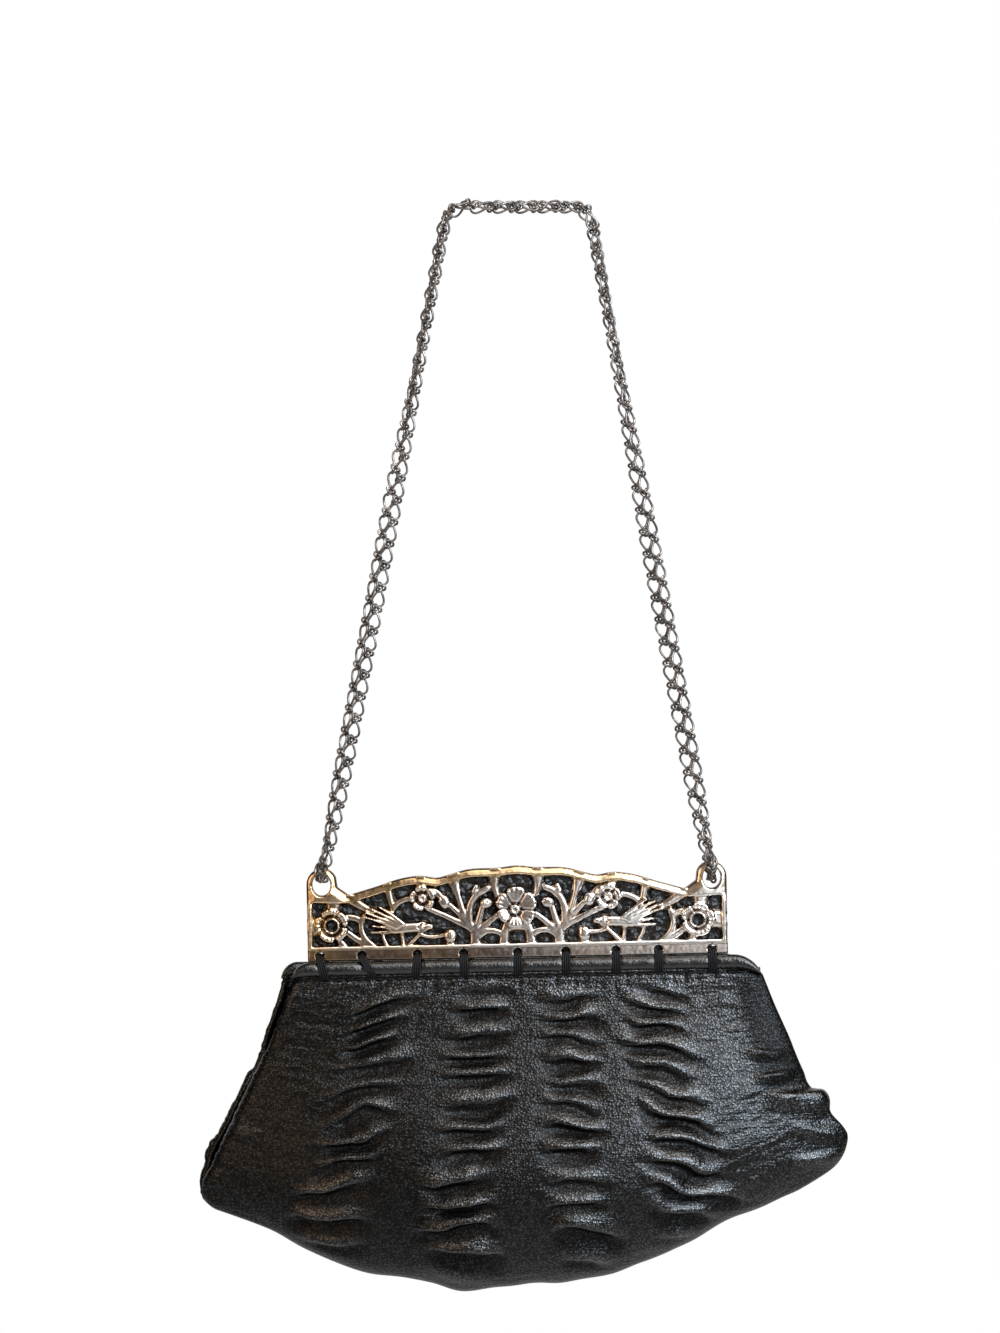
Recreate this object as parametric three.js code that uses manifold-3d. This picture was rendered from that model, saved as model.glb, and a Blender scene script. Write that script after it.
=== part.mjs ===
// An evening clutch: a ruched leather pouch laced to a pierced cast-metal frame, hung by a doubled chain.
// Millimetres, +Z up, front towards -Y. The origin is the point where the chain hangs on its hook.
import * as THREE from "three";
import { mergeVertices } from "three/addons/utils/BufferGeometryUtils.js";
import Module from "manifold-3d";

const wasm = await Module();
wasm.setup();

// Driving dimensions of the frame, whose two like castings close on each other
const HANG_DROP = 268.6; // from the hook down to the castings' lower edge
const HANG_TILT = 1.15; // how much higher the bag's right side hangs, in degrees
const FRAME_HALF_WIDTH = 75.5;
const FRAME_REAR = 1.6; // from the middle plane to a casting's flat rear face
const RIM_THICKNESS = 2.4;
const RIM_WIDTH = 2.6;
const SIDE_RIM_WIDTH = 2.3;
const RAIL_HEIGHT = 4.4;
const WINDOW_SHOULDER = 20.8; // top of the pierced field under each ear
const EAR_RADIUS = 4.9;
const EAR_HEIGHT = 33.3;
const EAR_NECK = 26.4; // where the ear's inner side starts to slope down to the dip
const EAR_HOLE = { across: 70.2, height: 27.4, half_width: 3.3, half_height: 3.9 };
const FIT_GAP = 0.3; // between pieces that touch on the real bag

// Heights of the cast relief above a casting's rear face
const STEM_RELIEF = 1.8;
const BUD_RELIEF = 2.5;
const BIRD_RELIEF = 2.6;
const WING_RELIEF = 3.1;
const PETAL_RELIEF = 2.8;
const BOSS_RELIEF = 3.4;
const CAST_STOCK = 1; // left behind the rear face while the relief is joined, then trimmed flat

// Driving dimensions of the leather
const BACKING_THICKNESS = 1;
const BACKING_INSET = 1.4;
const BINDING_HEIGHT = 5.2;
const BINDING_DEPTH = 4.4;
const BINDING_SETBACK = 3.4; // from the middle plane to the middle of a binding
const PANEL_TOP = 5.8; // drop from the castings' lower edge to the panels' top
const PANEL_CORNER = 2.2; // how much lower the ends of that top are
const WALL = 1.6;
const SEAM_HALF_GAP = 0.15;
const SEAM_GROOVE = 4; // how far the side seam lies inside the panels' edges, at the top
const FOLDS = 12;
const FOLD_CREASE = 0.4; // a crease's depth as a share of its crest's rise

// Driving dimensions of the lacing, hinge pins and chain
const LACE_WIDTH = 2;
const LACE_THICKNESS = 0.8;
const LACE_EASE = 0.4; // how far a bundle stands off where it bends
const LACE_HOLE = { height: 2, radius: 1.45 };
const LACE_PLACES = [-71.1, -56, -36.1, -19.4, 0, 17.3, 35.3, 50.5, 69.8];
const HINGE_PIN = { radius: 1.25, length: 9, height: 1.4 };
const CHAIN_DIAMETER = 3.2;
const CHAIN_PAIR_OFFSET = 1.9; // each strand's distance from the middle of the doubled chain
const HOOK_HALF_SPAN = 23; // from the middle to where the chain bends over the hook
const LEG_TOP = { across: 27.6, drop: 10 };
const LEG_SETBACK = 2.1; // from the middle plane to a strand along the legs and over the hook

// A strand's bends above the ear's hole: out is from the casting's face, spread a share of the pair's offset
const EAR_BENDS = [
  { rise: -0.2, out: -2, spread: 0 },
  { rise: 0.8, out: 0, spread: 0 },
  { rise: 4, out: 0.5, spread: 0 },
  { rise: 12, out: 0, spread: 0.2 },
  { rise: 30, out: -1.9, spread: 0.8 },
];
// Its bends up a leg, and from the top of the leg to the hook
const LEG_BENDS = [
  { drop: 170, spread: 1 },
  { drop: 110, spread: 1 },
  { drop: 55, spread: 1 },
  { drop: 22, spread: 0.6 },
  { drop: 10, spread: 0 },
];
const HOOK_BENDS = [
  { beyond: 2.6, drop: 4.2 },
  { beyond: -1.5, drop: 0.5 },
  { beyond: -8, drop: 0 },
];

// How the ends of a binding turn down
const BINDING_ENDS = [
  { inward: 1, fall: 1.6 },
  { inward: 3.2, fall: 0.4 },
  { inward: 6.5, fall: 0 },
];

// Right half of a casting's top edge, from the middle out to the dip beside the ear
const TOP_EDGE = [
  { across: 0, height: 32.9 },
  { across: 6, height: 32.3 },
  { across: 19, height: 31.6 },
  { across: 24, height: 30.2 },
  { across: 28.5, height: 29.1 },
  { across: 34.5, height: 29.9 },
  { across: 41, height: 29.2 },
  { across: 51, height: 26.2 },
  { across: 60.5, height: 23.5 },
];

// Stems on the casting's left half, as bends from one point by way of a second, with the widths of their ends
const STEMS = [
  { from: [-15.1, 4], via: [-15.2, 7.5], to: [-15.1, 11.1], start: 3.8, end: 3 }, // trunk
  { from: [-16.6, 10.8], via: [-19.2, 22.5], to: [-10.4, 25.1], start: 2, end: 1.7 }, // tall shoot
  { from: [-7.6, 31], via: [-8.4, 27], to: [-7, 22.8], start: 4.2, end: 1.4 }, // drops from the rim
  { from: [-22.6, 29.8], via: [-22.4, 27], to: [-21.4, 24.2], start: 4.5, end: 2.4 },
  { from: [-21.4, 24.2], via: [-20.4, 20], to: [-18.6, 14.5], start: 1.4, end: 1.4 },
  { from: [-24.3, 19.7], via: [-20.5, 16], to: [-16.2, 11], start: 1.2, end: 1.5 }, // to the upper bud
  { from: [-32, 18.2], via: [-25, 15.5], to: [-16.2, 10.6], start: 1.3, end: 1.5 }, // to the small flower
  { from: [-31.5, 24.6], via: [-29, 25], to: [-27.2, 22.3], start: 1.6, end: 1.6 },
  { from: [-34.6, 25.2], via: [-34.5, 27], to: [-34.4, 29], start: 2, end: 3 }, // small flower to the rim
  { from: [-37.8, 22.2], via: [-44.5, 21.3], to: [-45, 16.6], start: 1.4, end: 1.4 },
  { from: [-46.8, 28], via: [-46, 24], to: [-44.8, 19.4], start: 2.2, end: 1.4 }, // stalk behind the bird
  { from: [-60, 22.5], via: [-57, 20], to: [-52, 17.6], start: 3, end: 1.6 }, // rim to the wing tip
  { from: [-74, 13], via: [-72, 13], to: [-70, 13], start: 3, end: 3 }, // end flower to the side
  { from: [-64, 7.6], via: [-63, 6], to: [-61.8, 4], start: 1.4, end: 2.6 },
  { from: [-61.5, 10.6], via: [-57.5, 7.2], to: [-51.8, 4.2], start: 1.6, end: 1.6 },
  { from: [-55.2, 15.8], via: [-58.4, 9], to: [-50.4, 4.2], start: 1.5, end: 1.5 }, // frond
  { from: [-61.5, 15.6], via: [-58.5, 16], to: [-56, 14.2], start: 1.6, end: 1.6 },
  { from: [-12.6, 18.3], via: [-13.4, 15], to: [-14.8, 10.8], start: 1.5, end: 1.7 }, // to the inner bud
  { from: [-14.2, 9.4], via: [-11, 12.5], to: [-6.6, 15.8], start: 1.7, end: 1.5 }, // to the middle flower
  { from: [-14, 8], via: [-10.3, 11.6], to: [-5.4, 8.6], start: 1.5, end: 1.5 },
  { from: [-4.9, 3.8], via: [-5, 7.5], to: [-3.9, 11.3], start: 3.4, end: 2.6 }, // post and bar under it
  { from: [-4, 10.9], via: [-2, 11.2], to: [0.2, 11.2], start: 2, end: 2 },
  { from: [-24.3, 3.8], via: [-24.2, 5.5], to: [-24.1, 7.5], start: 2.8, end: 2.4 }, // low bud's foot
  { from: [-35, 9.1], via: [-30.6, 7.1], to: [-25.7, 9], start: 1.2, end: 1.2 },
  { from: [-39.8, 4.2], via: [-37.8, 6.7], to: [-35, 9.1], start: 1.4, end: 1.2 },
  { from: [-48.4, 9.4], via: [-48, 6.7], to: [-45.6, 4], start: 1.3, end: 1.3 }, // bird's legs
  { from: [-41.4, 9.4], via: [-41.4, 6.7], to: [-40.6, 4], start: 1.3, end: 1.3 },
];
const STEM_STEP = 12; // a stem's bend has one facet for about this length

const BUDS = [
  { across: -26.1, height: 20.7, radius: 2.1 },
  { across: -11.1, height: 19.8, radius: 2.1 },
  { across: -24.1, height: 8.4, radius: 2.2 },
];

// Flowers on the middle and the left half: boss is the raised middle, pit a hole through it
const FLOWERS = [
  { across: 0, height: 17.4, radius: 7.5, boss: 1.9, pit: 0, turn: 90, petals: 6 },
  { across: -33.4, height: 21.8, radius: 4.9, boss: 1.8, pit: 0, turn: 98, petals: 5 },
  { across: -65.8, height: 12.7, radius: 6.6, boss: 3, pit: 1.9, turn: 102, petals: 5 },
];
const POINTS_PER_PETAL = 3;
const PETAL_NOTCH = 0.3; // depth of the notch between petals, as a share of the radius

// Outline of the left bird, clockwise from its beak, and of the wing that stands out from it
const BIRD = [
  [-28.8, 11.6], [-32.2, 10.3], [-36, 9.5], [-41, 9], [-45, 8.9], [-51.2, 9.2],
  [-51.9, 11.2], [-46.5, 11.9], [-52.8, 14.5], [-53.6, 17], [-51.3, 18.7], [-45, 16.4],
  [-40.5, 13.9], [-36, 13.7], [-34.2, 13.9], [-32.2, 13],
];
const WING = [[-41, 12.2], [-46, 12.8], [-52.4, 16.6], [-50.6, 17.7], [-43, 14.4]];

// Lower outline of the pouch from its left corner to its right one: share runs across the panel
const BOTTOM_EDGE = [
  { share: -1, across: -116.2, drop: 77.4 },
  { share: -0.94, across: -111.3, drop: 85.8 },
  { share: -0.8, across: -93.9, drop: 93.6 },
  { share: -0.55, across: -68.2, drop: 107.3 },
  { share: -0.3, across: -40.3, drop: 114.4 },
  { share: -0.14, across: -19.4, drop: 118.7 },
  { share: 0, across: -1.3, drop: 116.6 },
  { share: 0.25, across: 28.7, drop: 115.2 },
  { share: 0.5, across: 57.9, drop: 104.4 },
  { share: 0.75, across: 86.2, drop: 92.4 },
  { share: 0.94, across: 108.9, drop: 80.9 },
  { share: 1, across: 114.6, drop: 73 },
];

// The two panels: facing is the side of the middle plane, left and right the ends of the top edge
const PANELS = [
  { name: "front", facing: -1, left: -79.8, right: 88.4 },
  { name: "back", facing: 1, left: -84.6, right: 84.3 },
];

// Columns of gathers, which fan out down a panel: tilt and phase shift their folds, in folds
const GATHERS = [
  { share: -0.59, half: 0.2, rise: 2.3, tilt: 0.9, phase: 0 },
  { share: -0.16, half: 0.18, rise: 2.6, tilt: 0.15, phase: 0.45 },
  { share: 0.18, half: 0.14, rise: 2.2, tilt: -0.1, phase: 0.2 },
  { share: 0.545, half: 0.18, rise: 2.5, tilt: -0.7, phase: 0.6 },
];
const GATHER_STEPS = [-1, -0.4, 0.4, 1]; // facets across each column
const EDGE_SHARES = [-1, -0.93, -0.86, 0.8, 0.87, 0.94, 1]; // facets beside the columns
const FOLD_START = 0.02;
const FOLD_END = 0.93;
const HEM_SHARES = [0.965, 0.988, 1]; // last facets, round the bottom

// Half depth of a panel: edge at its sides, crown the bulge in its middle
const EDGE_DEPTH = { top: 3, low: 6 };
const CROWN_DEPTH = { top: 1.7, low: 15.5 };
const CROWN_FLATNESS = 2.4;
const CLOSING_START = 0.68; // where the panel starts to round in to the bottom seam
const HEM_DEPTH = 0.5;
const CAVITY_FACETS = { across: 8, down: 8 };

// Folds that stand out of the panels' right and left edges, low down
const TUCKS = [
  { side: 1, start: 0.6, end: 1.05, bulge: 4.4 },
  { side: -1, start: 0.56, end: 0.8, bulge: 1.6 },
];

const castMetal = new THREE.MeshStandardMaterial({ color: 0xb9b2a8, roughness: 0.22, metalness: 1 });
const chainMetal = new THREE.MeshStandardMaterial({ color: 0x8d8681, roughness: 0.3, metalness: 1 });
const leather = new THREE.MeshStandardMaterial({ color: 0x1a1817, roughness: 0.45, metalness: 0 });
const thread = new THREE.MeshStandardMaterial({ color: 0x0c0c0e, roughness: 0.8, metalness: 0 });

const WELD = 1e-4;

// A closed geometry as a solid that can be joined and cut.
function solidOf(geometry) {
  const bare = geometry.clone();
  bare.deleteAttribute("normal");
  bare.deleteAttribute("uv");
  const merged = mergeVertices(bare, WELD);
  return new wasm.Manifold(
    new wasm.Mesh({
      numProp: 3,
      vertProperties: merged.attributes.position.array,
      triVerts: new Uint32Array(merged.index.array),
    }),
  );
}

// A joined or cut solid as a geometry again.
function geometryOf(solid) {
  const mesh = solid.getMesh();
  const geometry = new THREE.BufferGeometry();
  geometry.setAttribute("position", new THREE.BufferAttribute(mesh.vertProperties, 3));
  geometry.setIndex(new THREE.BufferAttribute(mesh.triVerts, 1));
  geometry.computeVertexNormals();
  return geometry;
}

// A named sub-part.
function piece(name, geometry, material) {
  const mesh = new THREE.Mesh(geometry, material);
  mesh.name = name;
  return mesh;
}

// A flat shape, drawn across and up, as a slab standing upright with its thickness towards -Y.
function slab(shape, thickness) {
  const geometry = new THREE.ExtrudeGeometry(shape, { depth: thickness, bevelEnabled: false });
  return geometry.rotateX(Math.PI / 2);
}

function shapeOf(points) {
  return new THREE.Shape(points.map((p) => new THREE.Vector2(p.x ?? p[0], p.y ?? p[1])));
}

function mirrored(points) {
  return points.map(([x, y]) => [-x, y]);
}

// A flat shape as a solid that stands out from a casting's rear face by its relief.
function cast(shape, relief) {
  return solidOf(slab(shape, relief + CAST_STOCK).translate(0, CAST_STOCK, 0));
}

// A flat shape as a solid long enough to cut right through a casting.
function cutter(shape) {
  return solidOf(slab(shape, 3 * BOSS_RELIEF).translate(0, BOSS_RELIEF, 0));
}

// A round outline with few sides.
function ellipse(across, height, halfWidth, halfHeight, sides) {
  return Array.from({ length: sides }, (_, i) => {
    const angle = (2 * Math.PI * i) / sides;
    return new THREE.Vector2(across + halfWidth * Math.cos(angle), height + halfHeight * Math.sin(angle));
  });
}

// The casting's top edge from the left dip to the right one, lowered evenly by an inset.
function topEdge(inset, facets) {
  const right = TOP_EDGE.map((row) => new THREE.Vector2(row.across, row.height - inset));
  const left = right.slice(1).reverse().map((p) => new THREE.Vector2(-p.x, p.y));
  return new THREE.SplineCurve([...left, ...right]).getPoints(facets);
}

// The right ear's outline from the dip up over the hole and down to the casting's side.
function earOutline() {
  const middle = FRAME_HALF_WIDTH - EAR_RADIUS;
  const arch = [155, 125, 95, 65, 35, 0].map((degrees) => {
    const angle = THREE.MathUtils.degToRad(degrees);
    const height = EAR_HEIGHT - EAR_RADIUS + EAR_RADIUS * Math.sin(angle);
    return new THREE.Vector2(middle + EAR_RADIUS * Math.cos(angle), height);
  });
  return [new THREE.Vector2(middle - EAR_RADIUS, EAR_NECK), ...arch];
}

// Rim, rail and ears, with the window for the pierced field and the holes for laces and chain.
function rim() {
  const right = earOutline();
  const left = right.map((p) => new THREE.Vector2(-p.x, p.y)).reverse();
  const corners = [new THREE.Vector2(FRAME_HALF_WIDTH, 0), new THREE.Vector2(-FRAME_HALF_WIDTH, 0)];
  const outline = shapeOf([...left, ...topEdge(0, 22), ...right, ...corners]);
  const side = FRAME_HALF_WIDTH - SIDE_RIM_WIDTH;
  const openings = [
    [
      [-side, RAIL_HEIGHT],
      [-side, WINDOW_SHOULDER],
      ...topEdge(RIM_WIDTH, 16),
      [side, WINDOW_SHOULDER],
      [side, RAIL_HEIGHT],
    ],
    ...LACE_PLACES.map((across) => ellipse(across, LACE_HOLE.height, LACE_HOLE.radius, LACE_HOLE.radius, 6)),
    ...[-1, 1].map((end) =>
      ellipse(end * EAR_HOLE.across, EAR_HOLE.height, EAR_HOLE.half_width, EAR_HOLE.half_height, 8),
    ),
  ];
  return openings.reduce(
    (solid, opening) => solid.subtract(cutter(shapeOf(opening))),
    cast(outline, RIM_THICKNESS),
  );
}

// A stem's outline: a bend whose width changes evenly along it.
function stemShape({ from, via, to, start, end }) {
  const bend = new THREE.QuadraticBezierCurve(...[from, via, to].map((p) => new THREE.Vector2(...p)));
  const facets = Math.max(2, Math.round(bend.getLength() / STEM_STEP));
  const sides = { left: [], right: [] };
  for (let i = 0; i <= facets; i++) {
    const point = bend.getPoint(i / facets);
    const tangent = bend.getTangent(i / facets);
    const half = THREE.MathUtils.lerp(start, end, i / facets) / 2;
    const across = new THREE.Vector2(-tangent.y, tangent.x).multiplyScalar(half);
    sides.left.push(point.clone().add(across));
    sides.right.unshift(point.clone().sub(across));
  }
  return shapeOf([...sides.right, ...sides.left]);
}

// A flower's outline: round petals with notches between them.
function flowerShape({ across, height, radius, turn, petals }) {
  const count = petals * POINTS_PER_PETAL;
  const points = Array.from({ length: count }, (_, i) => {
    const angle = (2 * Math.PI * i) / count;
    const lobe = Math.abs(Math.cos((petals * angle) / 2));
    const reach = radius * (1 - PETAL_NOTCH * (1 - lobe) ** 2);
    const heading = angle + THREE.MathUtils.degToRad(turn);
    return [across + reach * Math.cos(heading), height + reach * Math.sin(heading)];
  });
  return shapeOf(points);
}

function mirrorStem(stem) {
  const [from, via, to] = mirrored([stem.from, stem.via, stem.to]);
  return { ...stem, from, via, to };
}

function bothSides(row) {
  return row.across === 0 ? [row] : [row, { ...row, across: -row.across, turn: 180 - row.turn }];
}

// One casting, with its flat rear face on the plane y = 0 and its relief towards -Y.
function casting() {
  const added = [];
  for (const stem of STEMS) {
    added.push(cast(stemShape(stem), STEM_RELIEF), cast(stemShape(mirrorStem(stem)), STEM_RELIEF));
  }
  for (const bud of BUDS.flatMap(bothSides)) {
    added.push(cast(shapeOf(ellipse(bud.across, bud.height, bud.radius, bud.radius, 8)), BUD_RELIEF));
  }
  for (const outline of [BIRD, mirrored(BIRD)]) {
    added.push(cast(shapeOf(outline), BIRD_RELIEF));
  }
  for (const outline of [WING, mirrored(WING)]) {
    added.push(cast(shapeOf(outline), WING_RELIEF));
  }
  const flowers = FLOWERS.flatMap(bothSides);
  for (const flower of flowers) {
    const boss = ellipse(flower.across, flower.height, flower.boss, flower.boss, 8);
    added.push(cast(flowerShape(flower), PETAL_RELIEF), cast(shapeOf(boss), BOSS_RELIEF));
  }
  const whole = added.reduce((solid, element) => solid.add(element), rim());
  const pits = flowers.filter((row) => row.pit > 0);
  const pierced = pits.reduce((solid, { across, height, pit }) => {
    return solid.subtract(cutter(shapeOf(ellipse(across, height, pit, pit, 8))));
  }, whole);
  const span = 3 * FRAME_HALF_WIDTH;
  const behind = new THREE.BoxGeometry(span, 2 * CAST_STOCK, span).translate(0, CAST_STOCK, 0);
  return geometryOf(pierced.subtract(solidOf(behind)));
}

// The leather that shows through a casting's gaps, with its front face on the plane y = 0.
function backing() {
  const side = FRAME_HALF_WIDTH - BACKING_INSET;
  const low = RAIL_HEIGHT - BACKING_INSET;
  const shape = shapeOf([
    [-side, low],
    [-side, WINDOW_SHOULDER],
    ...topEdge(BACKING_INSET, 16),
    [side, WINDOW_SHOULDER],
    [side, low],
  ]);
  return slab(shape, BACKING_THICKNESS).translate(0, BACKING_THICKNESS, 0);
}

// A plain pin at one end of the frame, on which its halves turn.
function hingePin(side) {
  const { radius, length, height } = HINGE_PIN;
  const geometry = new THREE.CylinderGeometry(radius, radius, length, 10).rotateZ(Math.PI / 2);
  return geometry.translate(side * (FRAME_HALF_WIDTH - length / 2), 0, height);
}

// A value between the rows of a table, by share.
function between(table, key, share) {
  const last = Math.max(1, table.findIndex((row) => row.share >= share));
  const [a, b] = [table[last - 1], table[last]];
  return THREE.MathUtils.mapLinear(share, a.share, b.share, a[key], b[key]);
}

// How strongly a column of gathers shows at a share across: 1 in its middle, 0 outside it.
function gatherWeight(gather, share) {
  const off = Math.abs(share - gather.share) / gather.half;
  return off < 1 ? Math.cos((off * Math.PI) / 2) ** 2 : 0;
}

// The rise of a numbered fold at a share across. No two folds of a column are alike.
function foldRise(share, fold) {
  return GATHERS.reduce((sum, gather, column) => {
    const unevenness = 0.72 + 0.28 * Math.sin(2.4 * fold + 1.7 * column);
    return sum + gather.rise * unevenness * gatherWeight(gather, share);
  }, 0);
}

// How far a fold lies below its even place at a share across, in folds.
function foldShift(share) {
  return GATHERS.reduce((sum, gather) => {
    const off = (share - gather.share) / gather.half;
    return sum - (gather.phase + gather.tilt * off) * gatherWeight(gather, share);
  }, 0);
}

// Half depth of the pouch at a share across and a share down.
function halfDepth(across, down) {
  const fullness = THREE.MathUtils.smoothstep(down, 0, CLOSING_START);
  const edge = THREE.MathUtils.lerp(EDGE_DEPTH.top, EDGE_DEPTH.low, fullness);
  const crown = THREE.MathUtils.lerp(CROWN_DEPTH.top, CROWN_DEPTH.low, fullness);
  const past = Math.max(0, (down - CLOSING_START) / (1 - CLOSING_START));
  const closing = Math.sqrt(Math.max(0, 1 - past ** 2));
  return (edge + crown * (1 - Math.abs(across) ** CROWN_FLATNESS)) * closing;
}

// The sideways bulge of the tucks at a share across and a share down.
function tuckBulge(across, down) {
  return TUCKS.reduce((sum, { side, start, end, bulge }) => {
    const along = (down - start) / (end - start);
    const nearness = Math.max(0, side * across) ** 6;
    return along > 0 && along < 1 ? sum + side * bulge * nearness * Math.sin(Math.PI * along) ** 0.5 : sum;
  }, 0);
}

// A point of a panel's outer face, before folds, as [across, drop].
function panelPlace(panel, across, down) {
  const top = THREE.MathUtils.mapLinear(across, -1, 1, panel.left, panel.right);
  const x = THREE.MathUtils.lerp(top, between(BOTTOM_EDGE, "across", across), down);
  const start = PANEL_TOP + PANEL_CORNER * across ** 20;
  const drop = THREE.MathUtils.lerp(start, between(BOTTOM_EDGE, "drop", across), down);
  return [x + tuckBulge(across, down), drop];
}

// A skin through sections of equally many points, closed at both ends.
function loft(sections, facing) {
  const count = sections[0].length;
  const position = sections.flat().flatMap((p) => [p.x, p.y, p.z]);
  const index = [];
  const face = (a, b, c) => index.push(...(facing < 0 ? [a, b, c] : [a, c, b]));
  for (let row = 0; row + 1 < sections.length; row++) {
    for (let i = 0; i < count; i++) {
      const [a, b] = [row * count + i, row * count + ((i + 1) % count)];
      face(a, a + count, b);
      face(b, a + count, b + count);
    }
  }
  const cap = (section, first, flat) => {
    const triangles = THREE.ShapeUtils.triangulateShape(section.map(flat), []);
    return triangles.map((corners) => corners.map((i) => first + i));
  };
  const top = cap(sections[0], 0, (p) => new THREE.Vector2(p.x, p.y));
  const bottom = cap(sections.at(-1), (sections.length - 1) * count, (p) => new THREE.Vector2(p.x, p.z));
  // The top looks up, along +Z. The bottom section lies upright and looks to the middle plane.
  top.forEach((t) => index.push(...t));
  bottom.forEach(([a, b, c]) => index.push(...(facing < 0 ? [a, c, b] : [a, b, c])));
  const geometry = new THREE.BufferGeometry();
  geometry.setAttribute("position", new THREE.Float32BufferAttribute(position, 3));
  return geometry.setIndex(index);
}

// The folds' rows down a panel: row numbers with a half are crests, whole ones creases.
function foldRows() {
  const rows = Array.from({ length: 2 * FOLDS + 1 }, (_, i) => ({
    down: THREE.MathUtils.mapLinear(i, 0, 2 * FOLDS, FOLD_START, FOLD_END),
    fold: Math.floor(i / 2),
    lift: i % 2 ? 1 : -FOLD_CREASE,
  }));
  const hem = HEM_SHARES.map((down) => ({ down, fold: FOLDS, lift: 0 }));
  return [{ down: 0, fold: 0, lift: 0 }, ...rows, ...hem];
}

// A panel's outer form, filled to the middle plane.
function panelBody(panel) {
  const columns = GATHERS.flatMap(({ share, half }) => GATHER_STEPS.map((step) => share + step * half));
  const shares = [...EDGE_SHARES, ...columns].sort((a, b) => a - b);
  const pitch = (FOLD_END - FOLD_START) / FOLDS;
  const sections = foldRows().map(({ down, fold, lift }) => {
    const swing = Math.sin(Math.PI * Math.min(1, down / FOLD_END)) * (lift === 0 ? 0 : 1);
    const skin = shares.map((share) => {
      const lower = down + pitch * foldShift(share) * swing;
      const [x, drop] = panelPlace(panel, share, lower);
      const relief = lift * foldRise(share, fold) * Math.min(1, 8 * (1 - lower));
      const depth = SEAM_HALF_GAP + HEM_DEPTH + halfDepth(share, lower) + relief;
      return new THREE.Vector3(x, panel.facing * depth, -drop);
    });
    const groove = SEAM_GROOVE * (1 - down) + HEM_DEPTH;
    const seam = [1, -1].map((side) => {
      const [x, drop] = panelPlace(panel, side, down);
      return new THREE.Vector3(x - side * groove, panel.facing * SEAM_HALF_GAP, -drop);
    });
    return [...skin, ...seam];
  });
  return loft(sections, panel.facing);
}

// The room inside a panel's wall, open above and past the middle plane.
function panelCavity(panel) {
  const { across, down } = CAVITY_FACETS;
  const sections = [];
  for (let row = 0; row <= down; row++) {
    const low = row / down;
    const skin = [];
    for (let i = 0; i <= across; i++) {
      const share = -1 + (2 * i) / across;
      const [x, drop] = panelPlace(panel, share, low);
      const inward = (SEAM_GROOVE * (1 - low) + WALL) * Math.abs(share) ** 4;
      const depth = Math.max(0, halfDepth(share, low) - WALL) + SEAM_HALF_GAP;
      const height = row === 0 ? PANEL_TOP - WALL : drop - 1.6 * WALL * low ** 4;
      skin.push(new THREE.Vector3(x - Math.sign(share) * inward, panel.facing * depth, -height));
    }
    const open = [skin.at(-1), skin[0]].map(({ x, z }) => {
      return new THREE.Vector3(x - Math.sign(x) * WALL, -panel.facing * WALL, z);
    });
    sections.push([...skin, ...open]);
  }
  return loft(sections, panel.facing);
}

function panelWall(panel) {
  return geometryOf(solidOf(panelBody(panel)).subtract(solidOf(panelCavity(panel))));
}

// A route whose steps follow its own points, close together where it bends.
class Route extends THREE.CatmullRomCurve3 {
  constructor(points) {
    super(points.map((p) => new THREE.Vector3(...p)), false, "centripetal");
  }

  getUtoTmapping(share) {
    return share;
  }
}

// A section swept along a route.
function sweep(section, points, stepsPerSpan) {
  const steps = (points.length - 1) * stepsPerSpan;
  return new THREE.ExtrudeGeometry(shapeOf(section), { steps, extrudePath: new Route(points) });
}

// The rolled strip along a panel's top edge, with its ends turned down.
function binding(panel) {
  const y = panel.facing * BINDING_SETBACK;
  const middle = -FIT_GAP - BINDING_HEIGHT / 2;
  const left = BINDING_ENDS.map(({ inward, fall }) => [panel.left + inward, y, middle - fall]);
  const right = BINDING_ENDS.map(({ inward, fall }) => [panel.right - inward, y, middle - fall]);
  const points = [...left, [0, y, middle], ...right.reverse()];
  const section = ellipse(0, 0, BINDING_DEPTH / 2, BINDING_HEIGHT / 2, 10);
  return sweep(section, points, 2);
}

// A flat bundle of thread through one hole of a casting and down over the binding.
function lace(across, facing) {
  const thick = LACE_THICKNESS / 2 + FIT_GAP;
  const front = FRAME_REAR + RIM_THICKNESS + thick;
  const roll = BINDING_SETBACK + BINDING_DEPTH / 2 + thick;
  const points = [
    [across, facing * (FRAME_REAR + LACE_EASE), LACE_HOLE.height],
    [across, facing * (front - 2 * LACE_EASE), LACE_HOLE.height],
    [across, facing * (front + LACE_EASE), LACE_HOLE.height - 2 * LACE_EASE],
    [across, facing * (roll - LACE_EASE), -3 * LACE_EASE],
    [across, facing * roll, -FIT_GAP - BINDING_HEIGHT / 2],
    [across, facing * (roll - LACE_EASE), -FIT_GAP - BINDING_HEIGHT + LACE_EASE],
  ];
  const [width, thickness] = [LACE_WIDTH / 2, LACE_THICKNESS / 2];
  const section = [[-width, -thickness], [width, -thickness], [width, thickness], [-width, thickness]];
  return sweep(section, points, 1);
}

// Where a point of the bag, given from the middle of the castings' lower edge, lies as it hangs.
function hung(across, height) {
  const angle = THREE.MathUtils.degToRad(HANG_TILT);
  const [cosine, sine] = [Math.cos(angle), Math.sin(angle)];
  return [across * cosine - height * sine, across * sine + height * cosine - HANG_DROP];
}

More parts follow.
